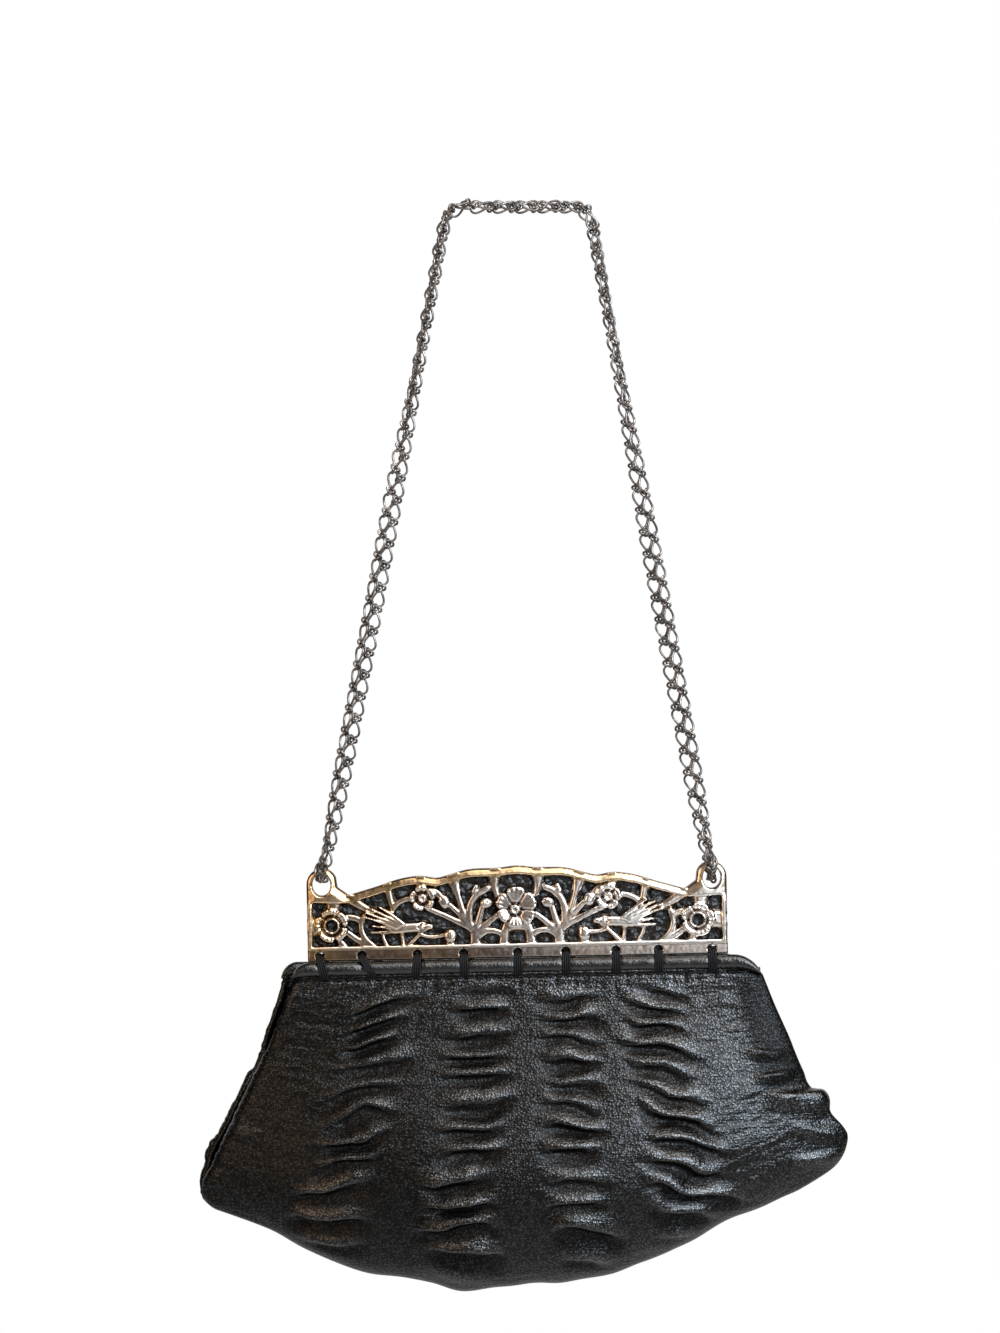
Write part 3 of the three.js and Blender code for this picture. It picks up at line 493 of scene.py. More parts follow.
class Shape:
    """Points and faces gathered from several parts, with a value at each point for the material."""

    def __init__(self):
        self.points, self.faces, self.values = [], [], {}
        self.count = 0

    def add(self, points, faces, **values):
        points = np.asarray(points, float)
        self.faces += [[self.count + int(i) for i in face] for face in faces]
        self.points.append(points)
        self.count += len(points)
        for name, value in values.items():
            self.values.setdefault(name, []).append(np.asarray(value, float).ravel())


def hung(points):
    """Points drawn from the middle of the castings' lower edge, where they are on the hanging bag."""
    x, y, z = np.asarray(points, float).T
    cosine, sine = math.cos(HANG_TILT), math.sin(HANG_TILT)
    return np.column_stack([x * cosine - z * sine, y, x * sine + z * cosine - HANG_DROP])


def piece(name, shape, look, replaced=(), tilted=True, sharp=None):
    """A shape as an object that rides on the bag, in place of the named solids."""
    points = np.concatenate(shape.points)
    points = (hung(points) if tilted else points) * MM
    mesh = bpy.data.meshes.new(name)
    mesh.from_pydata(points.tolist(), [], shape.faces)
    for key, value in shape.values.items():
        mesh.attributes.new(key, "FLOAT", "POINT").data.foreach_set("value", np.concatenate(value))
    mesh.shade_smooth()
    if sharp:
        mesh.set_sharp_from_angle(angle=math.radians(sharp))
    mesh.materials.append(look)
    made = bpy.data.objects.new(name, mesh)
    bpy.context.collection.objects.link(made)
    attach(made, "root")
    if replaced:
        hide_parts(*replaced)
    return made


# Materials


def new_material(name):
    """A material with its node tree and its shader."""
    made = bpy.data.materials.new(name)
    made.use_nodes = True
    return made, made.node_tree, made.node_tree.nodes["Principled BSDF"]


def add_node(tree, kind, settings=(), **inputs):
    """A shader node with its settings and inputs."""
    made = tree.nodes.new(kind)
    for key, value in dict(settings).items():
        setattr(made, key, value)
    set_inputs(tree, made, **inputs)
    return made


def set_inputs(tree, node, **inputs):
    """Sets inputs by name or number. One given by another node's output is linked to it."""
    for key, value in inputs.items():
        socket = node.inputs[int(key[1:])] if key[0] == "_" else node.inputs[key.replace("_", " ")]
        if isinstance(value, bpy.types.NodeSocket):
            tree.links.new(value, socket)
        else:
            socket.default_value = value


def ramp(tree, value, *stops):
    """Colours by value: each stop is a place and a colour."""
    made = add_node(tree, "ShaderNodeValToRGB", Fac=value)
    elements = made.color_ramp.elements
    while len(elements) < len(stops):
        elements.new(1)
    for element, (place, colour) in zip(elements, stops):
        element.position = place
        element.color = (*colour, 1)
    return made.outputs["Color"]


def mapped(tree, value, low, high, to_low, to_high):
    """A value moved from one range to another."""
    ends = {"From_Min": low, "From_Max": high, "To_Min": to_low, "To_Max": to_high}
    return add_node(tree, "ShaderNodeMapRange", Value=value, **ends).outputs["Result"]


def mixed(tree, share, first, second):
    """Two colours mixed by a share: inputs 6 and 7 and output 2 are the node's colours."""
    made = add_node(tree, "ShaderNodeMix", {"data_type": "RGBA"}, Factor=share, _6=first, _7=second)
    return made.outputs[2]


def added(tree, first, second, weight):
    """The first value plus the second one times a weight."""
    made = add_node(tree, "ShaderNodeMath", {"operation": "MULTIPLY_ADD"}, _0=second, _1=weight, _2=first)
    return made.outputs["Value"]


def object_place(tree):
    return add_node(tree, "ShaderNodeTexCoord").outputs["Object"]


def noise_texture(tree, scale, detail=2.0, vector=None):
    place = object_place(tree) if vector is None else vector
    return add_node(tree, "ShaderNodeTexNoise", Scale=scale, Detail=detail, Vector=place).outputs["Fac"]


def attribute(tree, name):
    made = add_node(tree, "ShaderNodeAttribute")
    made.attribute_name = name
    return made.outputs["Fac"]


def add_bump(tree, shader, height, strength, depth):
    """Fine relief on a surface, as deep as depth in metres."""
    bump = add_node(tree, "ShaderNodeBump", Height=height, Strength=strength, Distance=depth)
    set_inputs(tree, shader, Normal=bump.outputs["Normal"])


def leather_look(name, creased, pebbles, relief, polish):
    """Soft black leather with a pebbled grain, polished on its crests and dull in its creases, with painted
    shade in its creases and painted sheen along its top and right side.
    """
    made, tree, shader = new_material(name)
    place = object_place(tree)
    pebble = add_node(tree, "ShaderNodeTexVoronoi", Vector=place, Scale=pebbles)
    grain = mapped(tree, pebble.outputs["Distance"], *PEBBLE_HEIGHT)
    height = added(tree, grain, noise_texture(tree, FINE_GRAIN["finer"] * pebbles), FINE_GRAIN["weight"])
    broad = noise_texture(tree, **LEATHER_PATCHES)
    colour = ramp(tree, broad, *LEATHER_COLOURS)
    rough = mapped(tree, broad, *NOISE_RANGE, *(value - polish for value in LEATHER_ROUGHNESS))
    shine = LEATHER_SHINE["plain"] + LEATHER_SHINE["by_polish"] * polish
    if creased:
        crest = attribute(tree, "crest")
        # painted shade: a low crest value darkens the colour in the creases, the stitch groove and the right
        # band
        colour = mixed(tree, mapped(tree, crest, *CREASE_SHADE), colour, (*CREASE_SHADE_COLOUR, 1))
        rough = added(tree, rough, mapped(tree, crest, *CREST_SMOOTHS), 1.0)
        shine = added(tree, 0.0, mapped(tree, crest, *CREST_SHINE), mapped(tree, height, *SPECKLE))
        scaled = {"_0": place, "_1": WRINKLE_SCALE}
        stretched = add_node(tree, "ShaderNodeVectorMath", {"operation": "MULTIPLY"}, **scaled)
        wrinkle = noise_texture(tree, 1.0, vector=stretched.outputs["Vector"])
        height = added(tree, height, wrinkle, WRINKLE_WEIGHT)
    set_inputs(tree, shader, Base_Color=colour, Roughness=rough, Specular_IOR_Level=shine)
    add_bump(tree, shader, height, LEATHER_BUMP, relief)
    return made


def cast_look():
    """Old polished silver: dark in its recesses, with painted side light brighter on the right and a painted
    warm reflection along the upper rim.
    """
    made, tree, shader = new_material("cast_metal")
    tarnish = noise_texture(tree, CAST_TARNISH["scale"], CAST_TARNISH["detail"])
    worn = added(tree, attribute(tree, "wear"), tarnish, CAST_TARNISH["weight"])
    silver, reflected_gold = (ramp(tree, worn, *colours) for colours in (SILVER_COLOURS, REFLECTED_GOLD_COLOURS))
    # painted warm reflection of the room, mixed into the silver
    colour = mixed(tree, attribute(tree, "gilt"), silver, reflected_gold)
    rough = mapped(tree, tarnish, *NOISE_RANGE, *CAST_SHINE)
    set_inputs(tree, shader, Base_Color=colour, Roughness=rough, Metallic=1)
    grain = noise_texture(tree, CAST_GRAIN["scale"])
    add_bump(tree, shader, grain, CAST_GRAIN["strength"], CAST_GRAIN["depth"])
    return made


def chain_look():
    """Greyed steel wire, worn bright here and there."""
    made, tree, shader = new_material("chain_metal")
    worn = noise_texture(tree, **CHAIN_WEAR)
    rough = mapped(tree, worn, *NOISE_RANGE, *CHAIN_SHINE)
    set_inputs(tree, shader, Base_Color=ramp(tree, worn, *CHAIN_COLOURS), Roughness=rough, Metallic=1)
    return made


def thread_look():
    """Waxed black thread with a fine twist."""
    made, tree, shader = new_material("thread")
    wave = {"Vector": object_place(tree), "Scale": THREAD_TWIST["scale"]}
    twist = add_node(tree, "ShaderNodeTexWave", {"bands_direction": "DIAGONAL"}, **wave).outputs["Fac"]
    colour = ramp(tree, twist, *THREAD_COLOURS)
    set_inputs(tree, shader, Base_Color=colour, Roughness=THREAD_ROUGHNESS, Specular_IOR_Level=THREAD_SHINE)
    add_bump(tree, shader, twist, THREAD_TWIST["strength"], THREAD_TWIST["depth"])
    return made


# The castings, as a plan with a height at each place


def frame_outline(inset):
    """The castings' outline inside the ears, lowered by an inset along its top: (across, height) points."""
    right = [(across, height - inset) for across, height in TOP_EDGE]
    left = [(-across, height) for across, height in reversed(right[1:])]
    table = left + right
    top = curve_through(*zip(*table))
    across = np.linspace(table[0][0], table[-1][0], TOP_STEPS)
    return np.column_stack([across, top(across)])


def ear_outline():
    """The right ear from the dip up over its hole and down to the casting's side."""
    middle = FRAME_HALF_WIDTH - EAR_RADIUS
    angles = np.radians(np.arange(*EAR_ARC))
    arch = np.column_stack(
        [middle + EAR_RADIUS * np.cos(angles), EAR_HEIGHT - EAR_RADIUS + EAR_RADIUS * np.sin(angles)]
    )
    return np.vstack([(middle - EAR_RADIUS, EAR_NECK), arch])


def flipped(points):
    """An outline's points seen in a mirror, in the order that keeps it running the same way."""
    return (np.asarray(points, float) * (-1, 1))[::-1]


def polygon_distance(x, z, outline):
    """Signed distance to a closed outline, negative inside."""
    nearest = np.full(x.shape, np.inf)
    inside = np.zeros(x.shape, bool)
    for (ax, az), (bx, bz) in zip(outline, np.roll(outline, -1, axis=0)):
        dx, dz = bx - ax, bz - az
        share = np.clip(((x - ax) * dx + (z - az) * dz) / max(dx * dx + dz * dz, TINY), 0, 1)
        nearest = np.minimum(nearest, np.hypot(x - ax - share * dx, z - az - share * dz))
        crosses = (az > z) != (bz > z)
        if az != bz:
            inside ^= crosses & (x < dx * (z - az) / dz + ax)
    return np.where(inside, -nearest, nearest)


def ellipse_distance(x, z, across, height, half_width, half_height):
    """Nearly the signed distance to an ellipse, negative inside."""
    reach = np.hypot((x - across) / half_width, (z - height) / half_height)
    return (reach - 1) * min(half_width, half_height)


def stroke_distance(x, z, points, start_width, end_width):
    """Signed distance to a bend given by three points, whose width changes evenly along it."""
    first, via, last = (np.array(p, float) for p in points)
    t = np.linspace(0, 1, STROKE_STEPS + 1)[:, None]
    path = first * (1 - t) ** 2 + via * 2 * t * (1 - t) + last * t * t
    radii = lerp(start_width, end_width, t[:, 0]) / 2
    nearest = np.full(x.shape, np.inf)
    for i in range(STROKE_STEPS):
        (ax, az), (dx, dz) = path[i], path[i + 1] - path[i]
        share = np.clip(((x - ax) * dx + (z - az) * dz) / (dx * dx + dz * dz), 0, 1)
        reach = np.hypot(x - ax - share * dx, z - az - share * dz)
        nearest = np.minimum(nearest, reach - lerp(radii[i], radii[i + 1], share))
    return nearest


def rounded(distance, radius, relief):
    """The height of a form that rounds off towards its edge."""
    depth = np.clip(-distance / radius, 0, 1)
    return EDGE_RELIEF + (relief - EDGE_RELIEF) * np.sqrt(1 - (1 - depth) ** 2)


class Casting:
    """The plan of a casting on a grid: distance to its edge, negative inside, and height over its rear."""

    def __init__(self):
        margin = 2 * CAST_STEP
        top = EAR_HEIGHT + RIM_WIDTH
        columns = np.arange(-FRAME_HALF_WIDTH - margin, FRAME_HALF_WIDTH + 2 * margin, CAST_STEP)
        self.x, self.z = np.meshgrid(columns, np.arange(-margin, top, CAST_STEP))
        self.edge = self.outline = self.rim = self.rim_height = None
        self.height = np.full(self.x.shape, EDGE_RELIEF)

    def join(self, distance, height):
        """Adds a form, with a fillet where it meets what is there."""
        if self.edge is None:
            self.edge = distance
        else:
            share = np.clip(0.5 + 0.5 * (self.edge - distance) / FILLET, 0, 1)
            self.edge = lerp(self.edge, distance, share) - FILLET * share * (1 - share)
        self.height = np.maximum(self.height, np.where(distance < 0, height, EDGE_RELIEF))

    def engrave(self, depth):
        self.height = np.maximum(self.height - depth, EDGE_RELIEF)

    def cut(self, distance):
        """Takes a form out, and rounds the edge that is left."""
        self.edge = np.maximum(self.edge, -distance)
        self.height = np.minimum(self.height, rounded(-distance, RIM_ROUNDING, BOSS_RELIEF))


def join_rim(cast):
    """Rim, rail and ears round the pierced field."""
    top = frame_outline(0)
    right = ear_outline()
    side = FRAME_HALF_WIDTH
    outline = np.vstack([flipped(right), top, right, [(side, 0), (-side, 0)]])
    inner = side - SIDE_RIM_WIDTH
    window = np.vstack(
        [[(-inner, RAIL_HEIGHT), (-inner, WINDOW_SHOULDER)], frame_outline(RIM_WIDTH),
         [(inner, WINDOW_SHOULDER), (inner, RAIL_HEIGHT)]]
    )
    cast.outline = polygon_distance(cast.x, cast.z, outline)
    rim = np.maximum(cast.outline, -polygon_distance(cast.x, cast.z, window))
    leaning = np.clip(1 + cast.outline / RIM_WIDTH, 0, 1) * smoothstep(cast.z, *RIM_SLOPE["heights"])
    height = rounded(rim, RIM_ROUNDING, RIM_RELIEF - RIM_SLOPE["fall"] * leaning)
    wave = BEAD["wave"] * np.sin(2 * math.pi * cast.x / BEAD["wave_length"])
    bead = np.abs(cast.z - BEAD["height"] - wave) / BEAD["half"]
    below_bead = BEAD["height"] - BEAD["half"]
    flat = 1 - smoothstep(cast.z, below_bead - BEAD["foot"], below_bead)
    height = np.where(cast.z < RAIL_HEIGHT, lerp(height, np.minimum(height, RAIL_RELIEF), flat), height)
    ridge = RAIL_RELIEF + (BEAD["relief"] - RAIL_RELIEF) * np.sqrt(np.clip(1 - bead**2, 0, 1))
    height = np.where((bead < 1) & (np.abs(cast.x) < inner), np.maximum(height, ridge), height)
    cast.join(rim, height)
    cast.rim, cast.rim_height = rim, height


def join_stems(cast):
    for *points, start, end in STEMS:
        for mirror in (1, -1):
            bend = [(mirror * across, height) for across, height in points]
            distance = stroke_distance(cast.x, cast.z, bend, start + STEM_SPREAD, end + STEM_SPREAD)
            cast.join(distance, rounded(distance, ROUNDING_SHARE * max(start, end) / 2, STEM_RELIEF))


def join_buds(cast):
    """Buds with veins that fan out from the stalk."""
    for across, height, half_length, half_width, lean in BUDS:
        for mirror in (1, -1):
            angle = math.radians(lean)
            dx, dz = mirror * (cast.x - mirror * across), cast.z - height
            along = dx * math.cos(angle) + dz * math.sin(angle)
            off = dz * math.cos(angle) - dx * math.sin(angle)
            distance = ellipse_distance(along, off, 0, 0, half_length, half_width)
            veins = np.cos(BUD_VEIN["count"] * math.pi * off / half_width) ** VEIN_SHARPNESS
            veins = veins * smoothstep(along, *BUD_VEIN["fade"])
            relief = rounded(distance, ROUNDING_SHARE * half_width, BUD_RELIEF) - BUD_VEIN["depth"] * veins
            cast.join(distance, relief)


def join_birds(cast):
    for bird in BIRDS:
        x, z = bird["faces"] * (cast.x - bird["across"]), cast.z - bird["height"]
        for *points, start, end, relief in BIRD_STROKES:
            distance = stroke_distance(x, z, points, start + BIRD_SPREAD, end + BIRD_SPREAD)
            cast.join(distance, rounded(distance, ROUNDING_SHARE * max(start, end) / 2, relief))
        reach = np.hypot(x, z)
        head = reach - BIRD_HEAD["radius"]
        cast.join(head, rounded(head, BIRD_HEAD["radius"], BIRD_RELIEF + BIRD_HEAD["lift"]))
        ring = np.exp(-(((reach - BIRD_EYE["ring"]) / BIRD_EYE["width"]) ** 2))
        cast.engrave(BIRD_EYE["depth"] * ring)


def join_flower(cast, across, height, petals, radius, sway, boss, pit, pierced, turn):
    """Broad petals that dish towards a raised boss, with a groove between neighbours and fine veins."""
    dx, dz = cast.x - across, cast.z - height
    reach = np.hypot(dx, dz)
    sector = 2 * math.pi / petals
    heading = np.arctan2(dz, dx)
    off = (heading - math.radians(turn) + sector / 2) % sector - sector / 2
    share = np.abs(off) / (sector / 2)
    radius = radius * (1 + sway * np.cos(heading - SWAY_HEADING))
    lobe = radius * (1 - PETAL_NOTCH["depth"] * share ** PETAL_NOTCH["sharpness"])
    distance = reach - lobe
    groove = np.exp(-((reach * np.sin(sector / 2 - np.abs(off)) / PETAL_GROOVE["width"]) ** 2))
    outer = smoothstep(reach, *(part * radius for part in PETAL_VEIN["shares"]))
    veins = np.cos(PETAL_VEIN["count"] * math.pi * off / sector) ** VEIN_SHARPNESS * outer
    dish = PETAL_DISH["depth"] * (1 - smoothstep(reach, boss, PETAL_DISH["reach"] * radius))
    relief = rounded(distance, PETAL_ROUNDING, PETAL_RELIEF) - dish
    relief = relief - PETAL_GROOVE["depth"] * groove - PETAL_VEIN["depth"] * veins
    cast.join(distance, np.maximum(relief, EDGE_RELIEF))
    cast.join(reach - boss, rounded(reach - boss, (boss - pit) / 2, BOSS_RELIEF))
    if pierced:
        cast.cut(reach - pit)
    else:
        cast.engrave(PIT_DEPTH * np.exp(-((reach / pit) ** 2)))
    moat = np.exp(-(((reach - boss - BOSS_MOAT["width"]) / BOSS_MOAT["width"]) ** 2))
    cast.engrave(BOSS_MOAT["depth"] * moat)


def cast_plan():
    """The whole casting, with its holes."""
    cast = Casting()
    join_rim(cast)
    join_stems(cast)
    join_buds(cast)
    join_birds(cast)
    for flower in FLOWERS:
        join_flower(cast, *flower)
    cast.edge = np.maximum(cast.edge, cast.outline)
    cast.height = lerp(cast.height, cast.rim_height, smoothstep(-cast.rim, 0, RIM_ROUNDING))
    for across in LACE_PLACES:
        cast.cut(np.hypot(cast.x - across, cast.z - LACE_HOLE["height"]) - LACE_HOLE["radius"])
    for side in (-1, 1):
        halves = (EAR_HOLE["half_width"], EAR_HOLE["half_height"])
        cast.cut(ellipse_distance(cast.x, cast.z, side * EAR_HOLE["across"], EAR_HOLE["height"], *halves))
    bumps = sum(noise(cast.x / size, cast.z / size, seed) for size, seed in CAST_BUMPS)
    cast.height = blurred(cast.height + CAST_ROUGHNESS * bumps, 1)
    return cast


# For each set of a cell's inside corners, the faces that fill it: 0 to 3 are corners, 4 to 7 edge crossings
CELL_FACES = {
    1: [(0, 4, 7)], 2: [(1, 5, 4)], 3: [(0, 1, 5, 7)], 4: [(2, 6, 5)], 5: [(0, 4, 7), (2, 6, 5)],
    6: [(1, 2, 6, 4)], 7: [(0, 1, 2, 6, 7)], 8: [(3, 7, 6)], 9: [(0, 4, 6, 3)], 10: [(1, 5, 4), (3, 7, 6)],
    11: [(3, 0, 1, 5, 6)], 12: [(2, 3, 7, 5)], 13: [(2, 3, 0, 4, 5)], 14: [(1, 2, 3, 7, 4)],
    15: [(0, 1, 2, 3)],
}


def solid_of_plan(x, z, edge, height, rear, **values):
    """The part of a grid where edge is negative, as a solid from a flat rear out to its height."""
    inside = edge < 0
    fields = {"x": x, "z": z, "height": height, **values}

    def crossings(first, second):
        """Which neighbours the edge crosses between, and the fields where it does."""
        found = inside[first] != inside[second]
        share = (edge[first] / (edge[first] - edge[second] + TINY))[found]
        return found, {key: lerp(f[first][found], f[second][found], share) for key, f in fields.items()}

    every, low, high = slice(None), slice(None, -1), slice(1, None)
    flat, flat_values = crossings((every, low), (every, high))
    steep, steep_values = crossings((low, every), (high, every))
    counts = np.cumsum([0, inside.sum(), flat.sum(), steep.sum()])
    numbers = []
    for found, start in zip((inside, flat, steep), counts):
        number = np.full(found.shape, -1)
        number[found] = start + np.arange(found.sum())
        numbers.append(number)
    own, across, upward = numbers
    corners = [own[:-1, :-1], own[:-1, 1:], own[1:, 1:], own[1:, :-1]]
    corners += [across[:-1], upward[:, 1:], across[1:], upward[:, :-1]]
    code = sum((corner >= 0) << i for i, corner in enumerate(corners[:4]))
    total = counts[-1]
    front, walls = [], []
    for case, polygons in CELL_FACES.items():
        chosen = code == case
        for polygon in polygons:
            front.append(np.column_stack([corners[i][chosen] for i in polygon]))
            for a, b in zip(polygon, polygon[1:] + polygon[:1]):
                if a > 3 and b > 3:
                    first, second = corners[a][chosen], corners[b][chosen]
                    walls.append(np.column_stack([second, first, first + total, second + total]))
    faces = [face for group in front for face in group.tolist()]
    faces += [[i + total for i in reversed(face)] for face in faces]
    faces += [face for group in walls for face in group.tolist()]
    merged = {
        key: np.concatenate([f[inside], flat_values[key], steep_values[key]]) for key, f in fields.items()
    }
    outer = np.column_stack([merged["x"], -rear - merged["height"], merged["z"]])
    inner = np.column_stack([merged["x"], np.full(total, -rear), merged["z"]])
    shape = Shape()
    shape.add(np.vstack([outer, inner]), faces, **{key: np.tile(merged[key], 2) for key in values})
    return shape


def turned_round(shape):
    """The shape turned half a turn about the upright axis, as the frame's other half is."""
    other = Shape()
    other.add(np.concatenate(shape.points) * (-1, -1, 1), shape.faces)
    other.values = {key: list(value) for key, value in shape.values.items()}
    return other


def make_castings(look):
    """Both castings, with how worn each place is, its painted side light and its painted warm reflection."""
    cast = cast_plan()
    height = cast.height
    wear = WEAR["middle"] + WEAR["edges"] * (height - blurred(height, WEAR["blur"]))
    wear = wear + WEAR["height"] * (height - RIM_RELIEF)
    # the rail darker towards its lower edge
    wear = wear - RAIL_FOOT_DARKENING["amount"] * (1 - smoothstep(cast.z, *RAIL_FOOT_DARKENING["heights"]))
    # painted side light: darker on the left, brighter on the right
    wear = wear + lerp(*PAINTED_SIDE_LIGHT["shift"], smoothstep(cast.x, *PAINTED_SIDE_LIGHT["across"]))
    # painted warm reflection along the top rim, less on its right, more on the left and at the left end
    rim = smoothstep(cast.outline, *WARM_REFLECTION_RIM["inset"]) * smoothstep(cast.z, *WARM_REFLECTION_RIM["heights"])
    gilt = rim * (1 - WARM_REFLECTION_FADE["share"] * smoothstep(cast.x, *WARM_REFLECTION_FADE["across"]))
    for end in (WARM_REFLECTION_END, WARM_REFLECTION_LEFT):
        gilt = gilt + end["share"] * smoothstep(-cast.x, *end["across"])
    size = WARM_REFLECTION_PATCHES["size"]
    gilt = gilt + WARM_REFLECTION_PATCHES["share"] * noise(cast.x / size, cast.z / size, WARM_REFLECTION_PATCHES["seed"])
    shape = solid_of_plan(
        cast.x, cast.z, cast.edge, height, FRAME_REAR,
        wear=np.clip(wear, 0, 1), gilt=np.clip(gilt, 0, WARM_REFLECTION_MOST),
    )
    piece("casting_front", shape, look, ["frame_front"], sharp=CAST_SHARP)
    piece("casting_back", turned_round(shape), look, ["frame_back"], sharp=CAST_SHARP)


def make_backings(look):
    """Creased leather behind the gaps."""
    side = FRAME_HALF_WIDTH - BACKING_INSET
    low = RAIL_HEIGHT - BACKING_INSET
    tab, foot = BACKING_TAB["half_width"], BACKING_TAB["low"]
    right = [(side, WINDOW_SHOULDER), (side, low), (tab, low), (tab, foot)]
    outline = np.vstack([frame_outline(BACKING_INSET), right, flipped(right)])
    top = outline[:, 1].max() + 2 * BACKING_STEP
    columns = np.arange(-FRAME_HALF_WIDTH, FRAME_HALF_WIDTH + BACKING_STEP, BACKING_STEP)
    x, z = np.meshgrid(columns, np.arange(0, top, BACKING_STEP))
    puff = sum(weight * noise(x / size, z / size, seed) for size, weight, seed in BACKING_PUFFS)
    height = BACKING_THICKNESS + BACKING_PUFF * (np.clip(puff, -1, 1) - 1) / 2
    rear = FRAME_REAR - BACKING_GAP - BACKING_THICKNESS
    shape = solid_of_plan(x, z, polygon_distance(x, z, outline), height, rear)
    shapes = {"front": shape, "back": turned_round(shape)}
    return [
        piece(f"backing_leather_{name}", made, look, [f"backing_{name}"], sharp=BACKING_SHARP)
        for name, made in shapes.items()
    ]


# The pouch's two panels


def half_depth(across, down):
    """Half depth of the pouch at a share across and a share down."""
    fullness = smoothstep(down, 0, CLOSING_START)
    past = np.clip((down - CLOSING_START) / (1 - CLOSING_START), 0, 1)
    crown = lerp(*CROWN_DEPTH, fullness) * (1 - np.abs(across) ** CROWN_FLATNESS)
    return (lerp(*EDGE_DEPTH, fullness) + crown) * np.sqrt(1 - past**2)


def corners_rounded(across, down):
    """Shares across and down, drawn in near the two lower corners so that the outline runs round them."""
    wide, low = 1 - CORNER["across"], 1 - CORNER["down"]
    aside = np.clip((np.abs(across) - CORNER["across"]) / wide, 0, 1)
    under = np.clip((down - CORNER["down"]) / low, 0, 1)
    drawn_in = wide * aside * (1 - np.sqrt(1 - under**2 / 2))
    return across - np.sign(across) * drawn_in, down - low * under * (1 - np.sqrt(1 - aside**2 / 2))


def panel_base(name, across, down):
    """The panel before its folds, blended from its four edges: place across and height."""
    across, down = corners_rounded(across, down)
    share, place, drop = zip(*BOTTOM_EDGE)
    low_x, low_drop = curve_through(share, place)(across), curve_through(share, drop)(across)
    hem = noise(HEM_BUMPS["count"] * across, 0 * across, HEM_BUMPS["seed"])
    low_drop = low_drop + HEM_BUMPS["height"] * hem
    sides = {}
    for side in (-1, 1):
        drops, places = zip(*SIDE_EDGES[name, side])
        height = lerp(drops[0], drops[-1], down)
        sides[side] = np.interp(height, *smooth_table(drops, places)), height, places[0], drops[0]
    (left_x, left_drop, left_top, top), (right_x, right_drop, right_top, _) = sides[-1], sides[1]
    u = (across + 1) / 2
    top_x = lerp(left_top, right_top, u)
    corner_x = lerp(top_x, lerp(place[0], place[-1], u), down)
    corner_drop = lerp(top, lerp(drop[0], drop[-1], u), down)
    x = lerp(top_x, low_x, down) + lerp(left_x, right_x, u) - corner_x
    return x, -(lerp(top, low_drop, down) + lerp(left_drop, right_drop, u) - corner_drop)


def panel_grid():
    """Shares across with how much of the depth is kept there, and shares down."""
    even = np.linspace(-SIDE_START[-1], SIDE_START[1], PANEL_COLUMNS + 1)
    turn = np.linspace(0, SIDE_TURN, SIDE_COLUMNS + 1)[1:]
    left, right = (start + (1 - start) * np.sin(turn) for start in (SIDE_START[-1], SIDE_START[1]))
    kept = (np.cos(turn) - math.cos(SIDE_TURN)) / (1 - math.cos(SIDE_TURN))
    across = np.concatenate([-left[::-1], even, right])
    keep = np.concatenate([kept[::-1], np.ones(len(even)), kept])
    dip = np.linspace(0, math.pi / 2, HEM_ROWS + 1)[1:]
    hem = CLOSING_START + (1 - CLOSING_START) * np.sin(dip)
    down = np.concatenate([np.linspace(0, CLOSING_START, PANEL_ROWS + 1), hem])
    return across[None, :], keep[None, :], down[:, None]


def rows_down(drop):
    """How many folds lie above a drop, as their pitch grows down the panel."""
    first, last = FOLD_PITCHES
    growth = (last - first) / FOLD_RUN
    return np.log(1 + growth * (drop - FOLD_TOP) / first) / growth


def panel_noise(across, down, table, seed):
    """Noise of several sizes over a panel."""
    total = 0
    for wide, tall, shift, weight, own_seed in table:
        total = total + weight * noise(across * wide + shift, down * tall, seed + own_seed)
    return total


def gather_relief(across, down, drop, seed):
    """Rows of lens-shaped creases in the gathered columns: how far the leather lies out and sags."""
    rng = np.random.default_rng(seed)
    relief, sag = (np.zeros(np.broadcast(across, down).shape) for _ in range(2))
    for gather in GATHERS:
        depth, width = rng.uniform(*FOLD_DEPTHS, FOLDS), rng.uniform(*FOLD_WIDTHS, FOLDS)
        shift = rng.uniform(-FOLD_SHIFT, FOLD_SHIFT, FOLDS)
        off = (across - gather["share"]) / gather["half"]
        lean = lerp(*gather["tilt"], down) * off - gather["arch"] * off**2
        wobble = panel_noise(across, down, FOLD_WAVER, seed)
        row = rows_down(drop) + gather["phase"] + lean + FOLD_WOBBLE * wobble
        fold = np.clip(np.floor(row).astype(int) + 2, 0, FOLDS - 2)
        part = row - np.floor(row)
        lens = []
        for crease in (fold, fold + 1):
            spread = np.abs(off - shift[crease]) / width[crease]
            lens.append(depth[crease] * smoothstep(1 - spread, 0, FOLD_TAPER))
        rising, falling = 1 - smoothstep(part, 0, FOLD_CREST), smoothstep(part, FOLD_CREST, 1)
        crest = smoothstep(part, 0, FOLD_CREST) - falling
        lift = FOLD_SWELL * crest * lens[1] - rising * lens[0] - falling * lens[1]
        relief += lerp(*FOLD_GROWTH, down) * gather["rise"] * lift
        sag += FOLD_SAG * crest * lens[1]
    free = smoothstep(down, *FOLD_ENDS[0]) * smoothstep(1 - down, *FOLD_ENDS[1])
    return relief * free, sag * free


